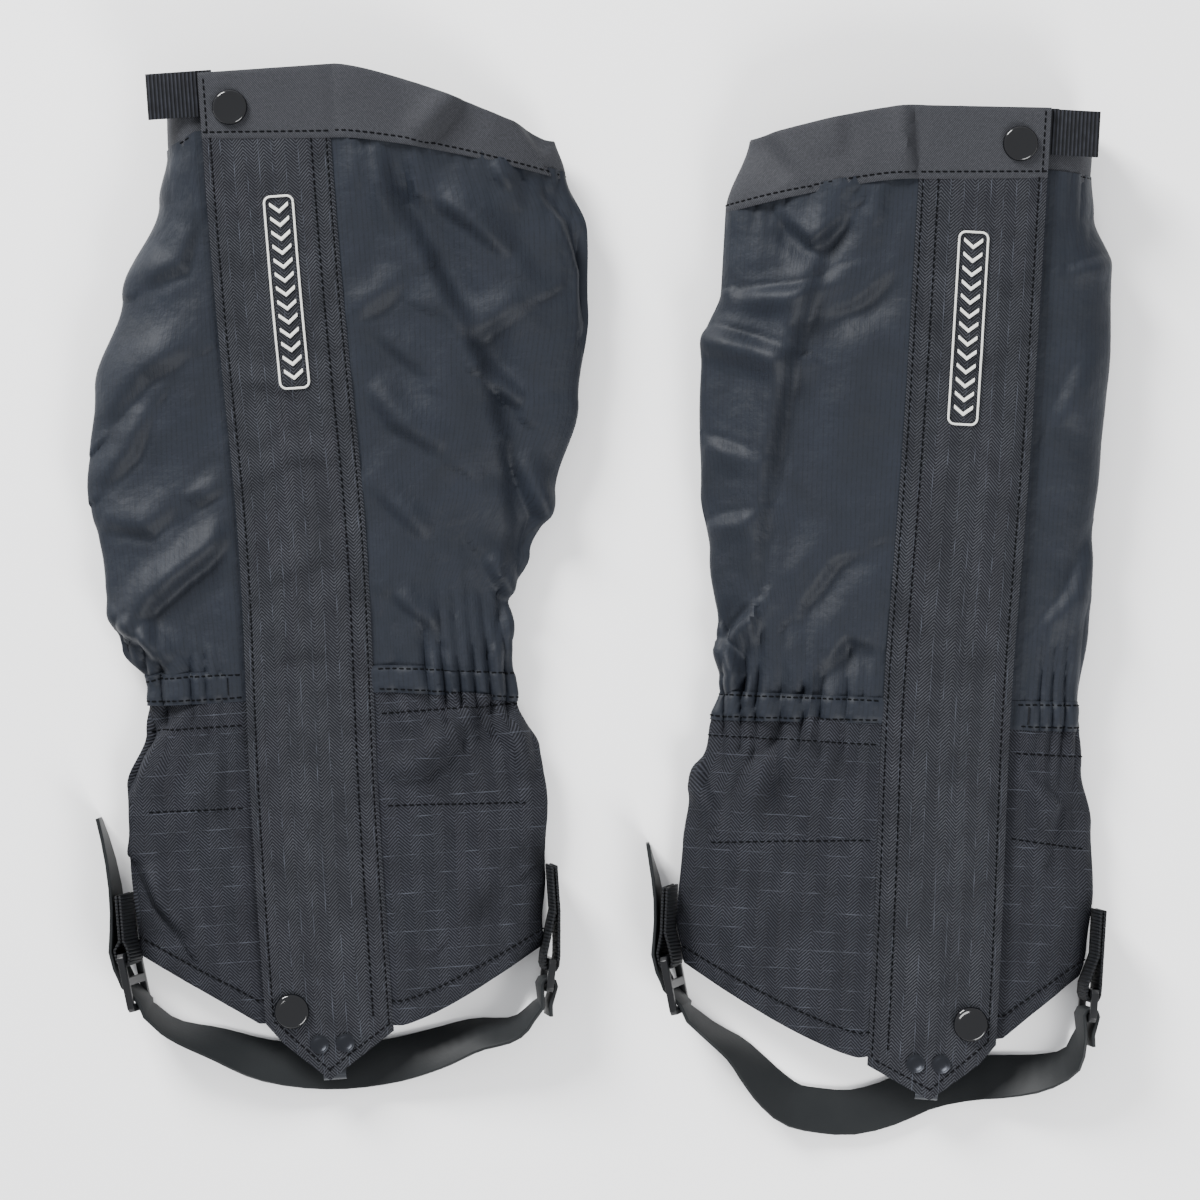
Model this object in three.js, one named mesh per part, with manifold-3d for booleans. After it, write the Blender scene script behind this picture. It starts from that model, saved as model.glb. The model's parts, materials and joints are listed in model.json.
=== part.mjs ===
// A pair of hiking gaiters lying side by side on a flat surface, calf ends towards +Y.
//
// Each gaiter is an open sleeve of fabric: a grey calf band, a navy calf panel, an elasticated
// ankle casing and a black boot panel. A long storm flap is sewn along one side of the front
// opening and closes over a placket with hook-and-loop tape and a press stud at each end. A
// lace hook is riveted under the flap's point, and an underfoot strap runs from a ladder-lock
// buckle on one side to a ring on the other.
//
// Each gaiter is modelled in its own frame, in millimetres: u (+X) runs from the flap's free
// edge to its sewn edge, v (+Y) from the flap's point to the calf, and z up from the table.
import * as THREE from "three";
import { mergeVertices } from "three/addons/utils/BufferGeometryUtils.js";
import Module from "manifold-3d";

const wasm = await Module();
wasm.setup();

// ---- Driving dimensions, mm and degrees ----
const GAP = 0.3; // clearance between pieces that lie against each other
const WALL = 1.2; // a panel's two layers of fabric with its seam allowance
const FRONT_AT_POINT = 16; // height of the flap's face above the table at its point
const FRONT_RISE = 0.05; // how much that height grows for each millimetre towards the calf
const EDGE_HEIGHT = 0.42; // height of the sleeve's side edge, as a share of the front's

const FLAP_WIDTH = 56;
const FLAP_THICKNESS = 1.2;
const PLACKET_WIDTH = 36;
const PLACKET_LEFT = 4; // from the flap's free edge to the placket's seam
const PANEL_LAP = 12; // how far the hinge side's panel runs under the flap
const TAPE_WIDTH = 20;
const TAPE_THICKNESS = 0.9;
const TAPE_INSET = 4; // from the flap's free edge to the tapes
const TAPE_START = 52; // along the front, clear of the press studs
const TAPE_END = 398;
const ELASTIC_THICKNESS = 1.0;
const ELASTIC_WIDTH = 8;

const CAP_RADIUS = 7.7;
const CAP_HEIGHT = 2.4;
const CAP_STEM_RADIUS = 1.8;
const SOCKET_RADIUS = 5.6;
const STUD_RADIUS = 1.5;
const POST_RADIUS = 1.1;
const RIVET_RADIUS = 4.1;
const RIVET_HEIGHT = 1.5;
const RIVET_SHANK_RADIUS = 1.4;

const HOOK_WIDTH = 10;
const HOOK_THICKNESS = 0.9;
const HOOK_BEND_RADIUS = 2.6;
const HOOK_RETURN = 8;
const HOOK_NOSE = 0.5; // v of the inside of the hook's bend, near the flap's point

const BADGE_WIDTH = 9;
const BADGE_LENGTH = 84;
const BADGE_THICKNESS = 0.5;

const STRAP_WIDTH = 20;
const STRAP_THICKNESS = 1.6;
const WEBBING_THICKNESS = 1.2;
const BUCKLE_THICKNESS = 3;
const BUCKLE_RAIL = 2.8;
const BAR_WIDTH = 3.5;
const SLOT_CHAMFER = 0.4;
const TAB_SLOT = 7.5;
const STRAP_SLOT = 8;
const RING_SLOT = 7.5;
const SWING_V = 78; // where the underfoot strap's tabs are sewn on and flex
const TAB_PATCH = 10; // half the length of the sewn patch on that line
const LOOP_EASE = 4.5; // from a tab's bar to where its two layers run together
const LIFT = 0.4; // height of the strap's lower edge above the table
const PULL_LAP = 6; // how far the calf webbing runs under the flap's band end

// Heights in the stack of layers under the flap's face, which is 0
const PANEL_TOP = -(FLAP_THICKNESS + GAP);
const LOOP_TOP = PANEL_TOP;
const HOOK_TAPE_TOP = LOOP_TOP - TAPE_THICKNESS - GAP;
const PLACKET_TOP = HOOK_TAPE_TOP - TAPE_THICKNESS - GAP;

// Each edge is a list of [v, u] from the hem to the calf. Each seam gives its v at the free
// side, at the flap's free edge, at the flap's sewn edge and at the hinge side.
const LEFT = {
  name: "left",
  mirror: 1,
  lean: 3.96,
  point: [-119.5, -211.2],
  flapCentre: 2.4,
  freeEdge: [
    [55, -78], [100, -80], [135, -79], [158, -69], [178, -65], [195, -77], [225, -82],
    [270, -86], [310, -81], [350, -66], [390, -47], [410, -42], [440, -41],
  ],
  hingeEdge: [
    [50, 96], [60, 98], [85, 101], [118, 104], [140, 102], [160, 93], [180, 92], [205, 93], [225, 104],
    [250, 117], [290, 130], [330, 137], [365, 139], [390, 131], [408, 127],
  ],
  hem: [60, 27, 22, 52],
  casingLow: [170, 169.5, 169.5, 161],
  casingHigh: [183, 182, 180, 174],
  bandSeam: [409, 416, 412.5, 388],
  bandTop: [434, 444, 444, 405],
  flapPoint: [1, 0],
  flapCorners: [[-25.6, 27], [30.4, 20]],
  snaps: [[-12.5, 428.5], [-13.7, 31.6]],
  rivets: [[-2.6, 16.1], [8.8, 16.1]],
  badge: [5.6, 346],
  pullEnd: [-48.5, 445.5],
  buckle: { u: -82, v: 49.7, side: -1, heading: 8, tilt: 14, root: -83.5 },
  ring: { u: 99.5, v: 40, side: 1, heading: 10, tilt: 8, root: 104.4 },
  tail: [[-93, 122, 0], [-90.5, 111, 4], [-88.5, 98, 8], [-87.6, 84, 11], [-88, 73, 13]],
  route: [
    [-67, 27, 20], [-48, 19, 40], [-27, 10, 62], [2, 5, 78], [28, 6, 74], [48, 10, 60],
    [66, 15, 42], [84, 17, 24],
  ],
};
const RIGHT = {
  name: "right",
  mirror: -1,
  lean: -3.21,
  point: [145.8, -220],
  flapCentre: 1.2,
  freeEdge: [
    [55, -61], [70, -64], [95, -65.5], [125, -63], [150, -57], [180, -54], [210, -57], [250, -56],
    [290, -58], [330, -59.5], [370, -58], [392, -49], [410, -47], [440, -48],
  ],
  hingeEdge: [
    [50, 111], [75, 116], [108, 115], [130, 113], [155, 106], [175, 102], [200, 104.5],
    [235, 110.5], [262, 116], [300, 118.5], [328, 118.5], [350, 112], [385, 112], [418, 103],
  ],
  hem: [58, 29, 17, 54],
  casingLow: [166, 165.5, 165, 162],
  casingHigh: [178, 177, 175, 174],
  bandSeam: [406, 407, 403.5, 385],
  bandTop: [433, 437, 435, 417],
  flapPoint: [1, 0],
  flapCorners: [[-26.8, 26], [29.2, 14]],
  snaps: [[-14.1, 421], [-15.1, 34.6]],
  rivets: [[-3.2, 16.2], [8.1, 15.9]],
  badge: [3.8, 339],
  pullEnd: [-48.5, 437],
  buckle: { u: 115.5, v: 45, side: 1, heading: 14, tilt: 14, root: 119.8 },
  ring: { u: -66.3, v: 46, side: -1, heading: 2, tilt: 8, root: -68.8 },
  tail: [[131, 106, 0], [128.5, 97, 4], [126, 88, 8], [124, 76, 11], [123.6, 66, 13]],
  route: [
    [98, 24, 20], [87, 17, 32], [79, 9, 44], [71, 1, 56], [61, -6, 68], [49, -8, 79],
    [34, -8, 82], [18, -3, 83], [2, 5, 83], [-17, 10, 78], [-35, 12, 64], [-50, 15, 46], [-61, 21, 26],
  ],
};

// ---- Materials ----
function finish(color, roughness, metalness = 0) {
  return new THREE.MeshStandardMaterial({ color, roughness, metalness });
}

const NAVY_RIPSTOP = finish("#2b323d", 0.7);
const BLACK_CANVAS = finish("#26282d", 0.85);
const GREY_TWILL = finish("#424349", 0.8);
const BLACK_TAPE = finish("#1c1d20", 0.9);
const BLACK_WEBBING = finish("#222327", 0.8);
const SMOOTH_STRAP = finish("#3a3c3f", 0.5);
const MOULDED_PLASTIC = finish("#33353a", 0.45);
const GLOSS_CAP = finish("#0d0e10", 0.15, 0.3);
const DARK_METAL = finish("#2a2b2e", 0.35, 0.9);
const BRIGHT_METAL = finish("#a8a9ab", 0.3, 1);
const WHITE_THREAD = finish("#e6e6e2", 0.6);

function named(name, geometry, material) {
  const mesh = new THREE.Mesh(geometry, material);
  mesh.name = name;
  return mesh;
}

// ---- Curves through a few points ----
const radians = THREE.MathUtils.degToRad;

function smoothStep(x) {
  return x * x * (3 - 2 * x);
}

// The u of an edge at height v, along a smooth curve through its [v, u] points.
function edgeAt(edge, v) {
  const last = edge.length - 1;
  if (v <= edge[0][0]) return edge[0][1];
  if (v >= edge[last][0]) return edge[last][1];
  const i = edge.findIndex(([height]) => height > v);
  const [v0, u0] = edge[i - 1];
  const [v1, u1] = edge[i];
  return u0 + (u1 - u0) * smoothStep((v - v0) / (v1 - v0));
}

function frontHeight(v) {
  return FRONT_AT_POINT + FRONT_RISE * v;
}

// ---- The sleeve's cross-section ----
const QUARTER_STEPS = 6;
const UNDER_STEPS = 3;
const FLOOR_STEPS = 3;
const FLOOR_SHARE = 0.62; // how much of each half of the back lies on the table

// A quarter of an ellipse from (u0, z0), where it is level, to (u1, z1), where it is upright.
function quarter(u0, z0, u1, z1, steps) {
  const points = [];
  for (let i = 1; i <= steps; i++) {
    const angle = (i / steps) * (Math.PI / 2);
    points.push([u0 + (u1 - u0) * Math.sin(angle), z1 + (z0 - z1) * Math.cos(angle)]);
  }
  return points;
}

// Outer face of the sleeve as [u, z, front], from under the flap's sewn edge, round the hinge
// side, the back and the free side, to freeEnd under the flap's free edge.
function section(spec, vFree, vMiddle, vHinge, hingeStart, freeEnd, hingeTop) {
  const free = edgeAt(spec.freeEdge, vFree);
  const hinge = edgeAt(spec.hingeEdge, vHinge);
  const top = frontHeight(vMiddle);
  const edge = top * EDGE_HEIGHT;
  const bend = spec.flapCentre + FLAP_WIDTH / 2 + 4;
  const freeBend = spec.flapCentre - FLAP_WIDTH / 2 - 3;
  const panel = top + hingeTop;
  const low = top + PLACKET_TOP;
  const right = quarter(bend, panel, hinge, edge, QUARTER_STEPS);
  const left = quarter(freeBend, low, free, edge, QUARTER_STEPS).reverse();
  const underRight = quarter(hinge * FLOOR_SHARE, 0, hinge, edge, UNDER_STEPS + 1).reverse();
  const underLeft = quarter(free * FLOOR_SHARE, 0, free, edge, UNDER_STEPS + 1);
  const outline = [[hingeStart, panel, 1], [bend, panel, 1]];
  right.forEach(([u, z]) => outline.push([u, z, 1]));
  underRight.slice(1).forEach(([u, z]) => outline.push([u, z, 0]));
  for (let i = 0; i <= FLOOR_STEPS; i++) {
    const share = i / FLOOR_STEPS;
    const u = (hinge + (free - hinge) * share) * FLOOR_SHARE;
    outline.push([u, 0, 0]);
  }
  underLeft.slice(0, -1).forEach(([u, z]) => outline.push([u, z, 0]));
  left.forEach(([u, z]) => outline.push([u, z, 1]));
  outline.push([freeBend, low, 1], [freeEnd, low, 1]);
  return { outline, free, hinge, bend, freeBend };
}

// One ring of the sleeve: the section, with each point's own v along the slanted seam.
function ring(spec, seam, shift, hingeStart, freeEnd, hingeTop) {
  const [vFree, vLeft, vRight, vHinge] = seam.map((v) => v + shift);
  const middle = (vLeft + vRight) / 2;
  const shape = section(spec, vFree, middle, vHinge, hingeStart, freeEnd, hingeTop);
  return shape.outline.map(([u, z, front]) => {
    const across = (u - shape.free) / (shape.hinge - shape.free);
    let v = vFree + (vHinge - vFree) * across;
    if (front && u > shape.bend)
      v = vRight + (vHinge - vRight) * ((u - shape.bend) / (shape.hinge - shape.bend)) ** 1.3;
    else if (front && u >= shape.freeBend)
      v = vLeft + (vRight - vLeft) * ((u - shape.freeBend) / (shape.bend - shape.freeBend));
    else if (front) v = vLeft + (vFree - vLeft) * ((shape.freeBend - u) / (shape.freeBend - shape.free));
    return new THREE.Vector3(u, v, z);
  });
}

function between(low, high, share) {
  return low.map((v, i) => v + (high[i] - v) * share);
}

// Rings of one panel, from the low seam to the high one.
function rings(spec, low, high, count, hingeStart, freeEnd, hingeTop = PANEL_TOP) {
  const rows = [];
  for (let j = 0; j <= count; j++) {
    const shift = (GAP / 2) * (1 - (2 * j) / count);
    rows.push(ring(spec, between(low, high, j / count), shift, hingeStart, freeEnd, hingeTop));
  }
  return rows;
}

// ---- Solids ----
// A grid of points moved along its own normals by a distance.
function offset(rows, distance) {
  const last = rows.length - 1;
  return rows.map((row, j) =>
    row.map((point, i) => {
      const along = rows[Math.min(j + 1, last)][i].clone().sub(rows[Math.max(j - 1, 0)][i]);
      const across = row[Math.min(i + 1, row.length - 1)].clone().sub(row[Math.max(i - 1, 0)]);
      return point.clone().addScaledVector(across.cross(along).normalize(), distance);
    }),
  );
}

// The closed solid between two grids of the same size, the first of which faces out.
function shell(outer, inner) {
  const high = outer.length;
  const wide = outer[0].length;
  const points = [...outer.flat(), ...inner.flat()];
  const index = [];
  const at = (j, i, layer = 0) => layer * high * wide + j * wide + i;
  const quad = (a, b, c, d) => index.push(a, b, c, a, c, d);
  for (let j = 0; j < high - 1; j++)
    for (let i = 0; i < wide - 1; i++) {
      quad(at(j, i), at(j, i + 1), at(j + 1, i + 1), at(j + 1, i));
      quad(at(j, i, 1), at(j + 1, i, 1), at(j + 1, i + 1, 1), at(j, i + 1, 1));
    }
  const rim = [];
  for (let i = 0; i < wide - 1; i++) rim.push([0, i]);
  for (let j = 0; j < high - 1; j++) rim.push([j, wide - 1]);
  for (let i = wide - 1; i > 0; i--) rim.push([high - 1, i]);
  for (let j = high - 1; j > 0; j--) rim.push([j, 0]);
  rim.forEach(([j, i], k) => {
    const [j2, i2] = rim[(k + 1) % rim.length];
    quad(at(j2, i2), at(j, i), at(j, i, 1), at(j2, i2, 1));
  });
  return solid(points, index);
}

function solid(points, index) {
  const geometry = new THREE.BufferGeometry().setFromPoints(points);
  geometry.setIndex(index);
  geometry.computeVertexNormals();
  return geometry;
}

// A flat strap through stations of a centre and the direction of its width.
function ribbon(stations, width, thickness) {
  const last = stations.length - 1;
  const points = [];
  stations.forEach(({ centre, across }, k) => {
    const ahead = stations[Math.min(k + 1, last)].centre;
    const behind = stations[Math.max(k - 1, 0)].centre;
    const along = ahead.clone().sub(behind).normalize();
    const side = across.clone().addScaledVector(along, -across.dot(along)).normalize();
    const normal = along.clone().cross(side).normalize();
    for (const [w, t] of [[1, 1], [-1, 1], [-1, -1], [1, -1]]) {
      const corner = centre.clone().addScaledVector(side, (w * width) / 2);
      points.push(corner.addScaledVector(normal, (t * thickness) / 2));
    }
  });
  const index = [];
  const quad = (a, b, c, d) => index.push(a, b, c, a, c, d);
  for (let k = 0; k < last; k++)
    for (let c = 0; c < 4; c++) {
      const d = (c + 1) % 4;
      quad(4 * k + c, 4 * k + d, 4 * k + 4 + d, 4 * k + 4 + c);
    }
  quad(3, 2, 1, 0);
  quad(4 * last, 4 * last + 1, 4 * last + 2, 4 * last + 3);
  return solid(points, index);
}

// A flat outline with round holes, from z = low up by a thickness.
function sheet(outline, holes, low, thickness) {
  const shape = new THREE.Shape(outline.map(([x, y]) => new THREE.Vector2(x, y)));
  for (const [x, y, radius] of holes) {
    const hole = new THREE.Path();
    hole.absarc(x, y, radius, 0, 2 * Math.PI, true);
    shape.holes.push(hole);
  }
  const settings = { depth: thickness, bevelEnabled: false, curveSegments: 6 };
  return new THREE.ExtrudeGeometry(shape, settings).translate(0, 0, low);
}

function strip(left, right, start, end, low, thickness, holes = []) {
  return sheet([[left, start], [right, start], [right, end], [left, end]], holes, low, thickness);
}

// A turned piece about z from [radius, z] points that start and end on its axis.
function turned(profile, sides = 20) {
  const points = profile.map(([radius, z]) => new THREE.Vector2(radius, z));
  return new THREE.LatheGeometry(points, sides).rotateX(Math.PI / 2);
}

// ---- Press studs, rivets and the lace hook, each about its own axis ----
const SOCKET_TOP = PANEL_TOP;
const SOCKET_LOW = SOCKET_TOP - 1.2;
const STUD_LOW = PLACKET_TOP + GAP;
const STUD_TOP = SOCKET_LOW + 0.8;
const STEM_HOLE = CAP_STEM_RADIUS + GAP;
const POST_HOLE = POST_RADIUS + GAP;
const RIVET_HOLE = RIVET_SHANK_RADIUS + GAP;

function capGeometry() {
  const low = GAP;
  const rim = low + CAP_HEIGHT * 0.35;
  return turned([
    [0, STUD_TOP + GAP], [CAP_STEM_RADIUS, STUD_TOP + GAP], [CAP_STEM_RADIUS, low],
    [CAP_RADIUS, low], [CAP_RADIUS, rim], [CAP_RADIUS * 0.8, low + CAP_HEIGHT * 0.8],
    [CAP_RADIUS * 0.45, low + CAP_HEIGHT * 0.97], [0, low + CAP_HEIGHT],
  ]);
}

function socketGeometry() {
  const bore = STEM_HOLE;
  return new THREE.LatheGeometry(
    [[bore, SOCKET_LOW], [SOCKET_RADIUS, SOCKET_LOW], [SOCKET_RADIUS, SOCKET_TOP],
      [bore, SOCKET_TOP], [bore, SOCKET_LOW]].map(([r, z]) => new THREE.Vector2(r, z)),
    16,
  ).rotateX(Math.PI / 2);
}

function studGeometry() {
  const base = STUD_LOW + 0.45;
  return turned([
    [0, STUD_LOW], [SOCKET_RADIUS - 0.6, STUD_LOW], [SOCKET_RADIUS - 0.6, base],
    [STUD_RADIUS, base], [STUD_RADIUS, STUD_TOP], [0, STUD_TOP],
  ], 16);
}

function postGeometry() {
  const top = PLACKET_TOP - WALL - GAP;
  return turned([
    [0, top - 0.7], [SOCKET_RADIUS - 0.6, top - 0.7], [SOCKET_RADIUS - 0.6, top],
    [POST_RADIUS, top], [POST_RADIUS, PLACKET_TOP], [0, PLACKET_TOP],
  ], 16);
}

function rivetGeometry() {
  const plate = PANEL_TOP - HOOK_THICKNESS;
  return turned([
    [0, plate], [RIVET_SHANK_RADIUS, plate], [RIVET_SHANK_RADIUS, GAP], [RIVET_RADIUS, GAP],
    [RIVET_RADIUS * 0.9, GAP + RIVET_HEIGHT * 0.6], [RIVET_RADIUS * 0.5, GAP + RIVET_HEIGHT * 0.95],
    [0, GAP + RIVET_HEIGHT],
  ], 16);
}

// ---- Joining two solids ----
function manifoldOf(geometry) {
  const plain = geometry.clone();
  plain.deleteAttribute("normal");
  plain.deleteAttribute("uv");
  const merged = mergeVertices(plain, 1e-4);
  const vertProperties = new Float32Array(merged.attributes.position.array);
  const triVerts = new Uint32Array(merged.index.array);
  return new wasm.Manifold(new wasm.Mesh({ numProp: 3, vertProperties, triVerts }));
}

function joined(first, second) {
  const mesh = manifoldOf(first).add(manifoldOf(second)).getMesh();
  const geometry = new THREE.BufferGeometry();
  geometry.setAttribute("position", new THREE.BufferAttribute(mesh.vertProperties, 3));
  geometry.setIndex(new THREE.BufferAttribute(mesh.triVerts, 1));
  geometry.computeVertexNormals();
  return geometry;
}

// The lace hook: a plate under the flap's point, with a tongue bent down and back under it.
function hookGeometry(spec) {
  const middle = (spec.rivets[0][0] + spec.rivets[1][0]) / 2;
  const reach = (spec.rivets[1][0] - spec.rivets[0][0]) / 2 + RIVET_SHANK_RADIUS + 2;
  const rivetV = spec.rivets[0][1];
  const low = PANEL_TOP - HOOK_THICKNESS;
  const outline = [
    [middle - reach, rivetV + 4], [middle - reach, rivetV - 4], [middle + reach, rivetV - 4],
    [middle + reach, rivetV + 4],
  ];
  const holes = spec.rivets.map(([u, v]) => [u, v, RIVET_HOLE]);
  const plate = sheet(outline, holes, low, HOOK_THICKNESS);
  const axisV = HOOK_NOSE + HOOK_BEND_RADIUS;
  const axisZ = low - HOOK_BEND_RADIUS;
  const profile = new THREE.Shape();
  const start = Math.PI / 2;
  profile.moveTo(rivetV - 3, PANEL_TOP);
  profile.absarc(axisV, axisZ, HOOK_BEND_RADIUS + HOOK_THICKNESS, start, -start, false);
  profile.lineTo(axisV + HOOK_RETURN, axisZ - HOOK_BEND_RADIUS - HOOK_THICKNESS);
  profile.lineTo(axisV + HOOK_RETURN, axisZ - HOOK_BEND_RADIUS);
  profile.absarc(axisV, axisZ, HOOK_BEND_RADIUS, -start, start, true);
  profile.lineTo(rivetV - 3, low);
  const settings = { depth: HOOK_WIDTH, bevelEnabled: false, curveSegments: 8 };
  const tongue = new THREE.ExtrudeGeometry(profile, settings);
  // Profile x is v and y is z: turn the extrusion so that its depth runs along u.
  tongue.applyMatrix4(new THREE.Matrix4().makeBasis(
    new THREE.Vector3(0, 1, 0), new THREE.Vector3(0, 0, 1), new THREE.Vector3(1, 0, 0),
  ));
  tongue.translate(middle - HOOK_WIDTH / 2, 0, 0);
  return joined(plate, tongue);
}

// ---- The front: the flap and what is sewn and riveted to it ----
function flapSpan(spec) {
  return [spec.flapCentre - FLAP_WIDTH / 2, spec.flapCentre + FLAP_WIDTH / 2];
}

function flapGeometry(spec) {
  const [free, sewn] = flapSpan(spec);
  const [cornerFree, cornerSewn] = spec.flapCorners;
  const outline = [
    spec.flapPoint, [sewn, cornerSewn[1]], [sewn, spec.bandSeam[2] - GAP],
    [free, spec.bandSeam[1] - GAP], [free, cornerFree[1]], [free + 7, cornerFree[1] - 9],
  ];
  const [, [u, v]] = spec.snaps;
  const holes = [[u, v, STEM_HOLE], ...spec.rivets.map(([ru, rv]) => [ru, rv, RIVET_HOLE])];
  return sheet(outline, holes, -FLAP_THICKNESS, FLAP_THICKNESS);
}

function bandEndGeometry(spec) {
  const [free, sewn] = flapSpan(spec);
  const outline = [
    [free, spec.bandSeam[1]], [sewn, spec.bandSeam[2]], [sewn, spec.bandTop[2]],
    [free, spec.bandTop[1]],
  ];
  const [[u, v]] = spec.snaps;
  return sheet(outline, [[u, v, STEM_HOLE]], -FLAP_THICKNESS, FLAP_THICKNESS);
}

// A column of chevrons, each one stitch bar high, on a thin backing.
function badgeGeometry(spec) {
  const [u, v] = spec.badge;
  const half = BADGE_WIDTH / 2;
  const outline = [
    [u - half, v - BADGE_LENGTH / 2 + half], [u, v - BADGE_LENGTH / 2],
    [u + half, v - BADGE_LENGTH / 2 + half], [u + half, v + BADGE_LENGTH / 2],
    [u, v + BADGE_LENGTH / 2 - half], [u - half, v + BADGE_LENGTH / 2],
  ];
  return sheet(outline, [], GAP, BADGE_THICKNESS);
}

function placed(mesh, [u, v]) {
  mesh.position.set(u, v, 0);
  return mesh;
}

function flapPieces(spec, name) {
  const [free] = flapSpan(spec);
  const tapeLeft = free + TAPE_INSET;
  const loop = strip(tapeLeft, tapeLeft + TAPE_WIDTH, TAPE_START, TAPE_END,
    LOOP_TOP - TAPE_THICKNESS, TAPE_THICKNESS);
  const pieces = [
    named(name("storm_flap"), flapGeometry(spec), BLACK_CANVAS),
    named(name("flap_band_end"), bandEndGeometry(spec), GREY_TWILL),
    named(name("loop_tape"), loop, BLACK_TAPE),
    named(name("badge"), badgeGeometry(spec), WHITE_THREAD),
    named(name("lace_hook"), hookGeometry(spec), BRIGHT_METAL),
  ];
  ["top", "bottom"].forEach((end, k) => {
    const cap = named(name(end + "_snap_cap"), capGeometry(), GLOSS_CAP);
    const socket = named(name(end + "_snap_socket"), socketGeometry(), DARK_METAL);
    pieces.push(placed(cap, spec.snaps[k]), placed(socket, spec.snaps[k]));
  });
  ["inner", "outer"].forEach((end, k) => {
    const rivet = named(name(end + "_rivet"), rivetGeometry(), DARK_METAL);
    pieces.push(placed(rivet, spec.rivets[k]));
  });
  return pieces;
}

// The placket under the flap, with the hook tape and the studs that the flap closes on.
function placketPieces(spec, name) {
  const [free] = flapSpan(spec);
  const left = free + PLACKET_LEFT;
  const tapeLeft = free + TAPE_INSET;
  const holes = spec.snaps.map(([u, v]) => [u, v, POST_HOLE]);
  const placket = strip(left, left + PLACKET_WIDTH, spec.hem[1] - 6, spec.bandTop[1],
    PLACKET_TOP - WALL, WALL, holes);
  const tape = strip(tapeLeft, tapeLeft + TAPE_WIDTH, TAPE_START, TAPE_END,
    HOOK_TAPE_TOP - TAPE_THICKNESS, TAPE_THICKNESS);
  const pieces = [
    named(name("front_placket"), placket, BLACK_CANVAS),
    named(name("hook_tape"), tape, BLACK_TAPE),
  ];
  ["top", "bottom"].forEach((end, k) => {
    const stud = named(name(end + "_snap_stud"), studGeometry(), DARK_METAL);
    const post = named(name(end + "_snap_post"), postGeometry(), DARK_METAL);
    pieces.push(placed(stud, spec.snaps[k]), placed(post, spec.snaps[k]));
  });
  return pieces;
}

// ---- The sleeve ----
const UPPER_ROWS = 12;
const LOWER_ROWS = 6;
const BAND_ROWS = 3;

function sleevePieces(spec, name) {
  const [free, sewn] = flapSpan(spec);
  const start = sewn - PANEL_LAP;
  const end = free + PLACKET_LEFT - GAP;
  const panel = (low, high, count) => {
    const outer = rings(spec, low, high, count, start, end);
    return shell(outer, offset(outer, -WALL));
  };
  const elasticLow = between(spec.casingLow, spec.casingHigh, 0.5).map((v) => v - ELASTIC_WIDTH / 2);
  const elasticHigh = elasticLow.map((v) => v + ELASTIC_WIDTH);
  const skin = rings(spec, elasticLow, elasticHigh, 1, sewn, free - 6);
  const elastic = shell(
    offset(skin, -(WALL + GAP)),
    offset(skin, -(WALL + GAP + ELASTIC_THICKNESS)),
  );
  const bandRings = rings(spec, spec.bandSeam, spec.bandTop, BAND_ROWS, sewn + 2 * GAP, end, 0);
  return [
    named(name("upper_panel"), panel(spec.casingHigh, spec.bandSeam, UPPER_ROWS), NAVY_RIPSTOP),
    named(name("ankle_casing"), panel(spec.casingLow, spec.casingHigh, 1), NAVY_RIPSTOP),
    named(name("lower_panel"), panel(spec.hem, spec.casingLow, LOWER_ROWS), BLACK_CANVAS),
    named(name("ankle_elastic"), elastic, BLACK_WEBBING),
    named(name("top_band"), shell(bandRings, offset(bandRings, -WALL)), GREY_TWILL),
  ];
}

// ---- The underfoot strap, its ladder-lock buckle, its ring and their webbing tabs ----
const FITTING_WIDTH = STRAP_WIDTH + 2 * (BUCKLE_RAIL + 0.7);
const BUCKLE_LENGTH = 3 * BAR_WIDTH + TAB_SLOT + STRAP_SLOT;
const RING_LENGTH = 2 * BAR_WIDTH + RING_SLOT;
const UP = new THREE.Vector3(0, 0, 1);

// Where a fitting stands on the table: s runs from its tab towards the foot, n away from the leg.
function cornerFrame({ u, v, side, heading, tilt }) {
  const turn = radians(heading);
  const lean = radians(tilt);
  const away = new THREE.Vector3(side * Math.cos(turn), -Math.sin(turn), 0);
  const down = new THREE.Vector3(-side * Math.sin(turn), -Math.cos(turn), 0);
  const width = UP.clone().multiplyScalar(Math.cos(lean)).addScaledVector(away, Math.sin(lean));
  const normal = away.clone().multiplyScalar(Math.cos(lean)).addScaledVector(UP, -Math.sin(lean));
  const half = (FITTING_WIDTH * Math.cos(lean) + BUCKLE_THICKNESS * Math.sin(lean)) / 2;
  return { origin: new THREE.Vector3(u, v, LIFT + half), down, away, width, normal };
}

// A station of a strap at (s, n) in a corner's frame.
function cornerStation(frame, [s, n]) {
  const centre = frame.origin.clone();
  centre.addScaledVector(frame.down, s).addScaledVector(frame.normal, n);
  return { centre, across: frame.width };
}

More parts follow.
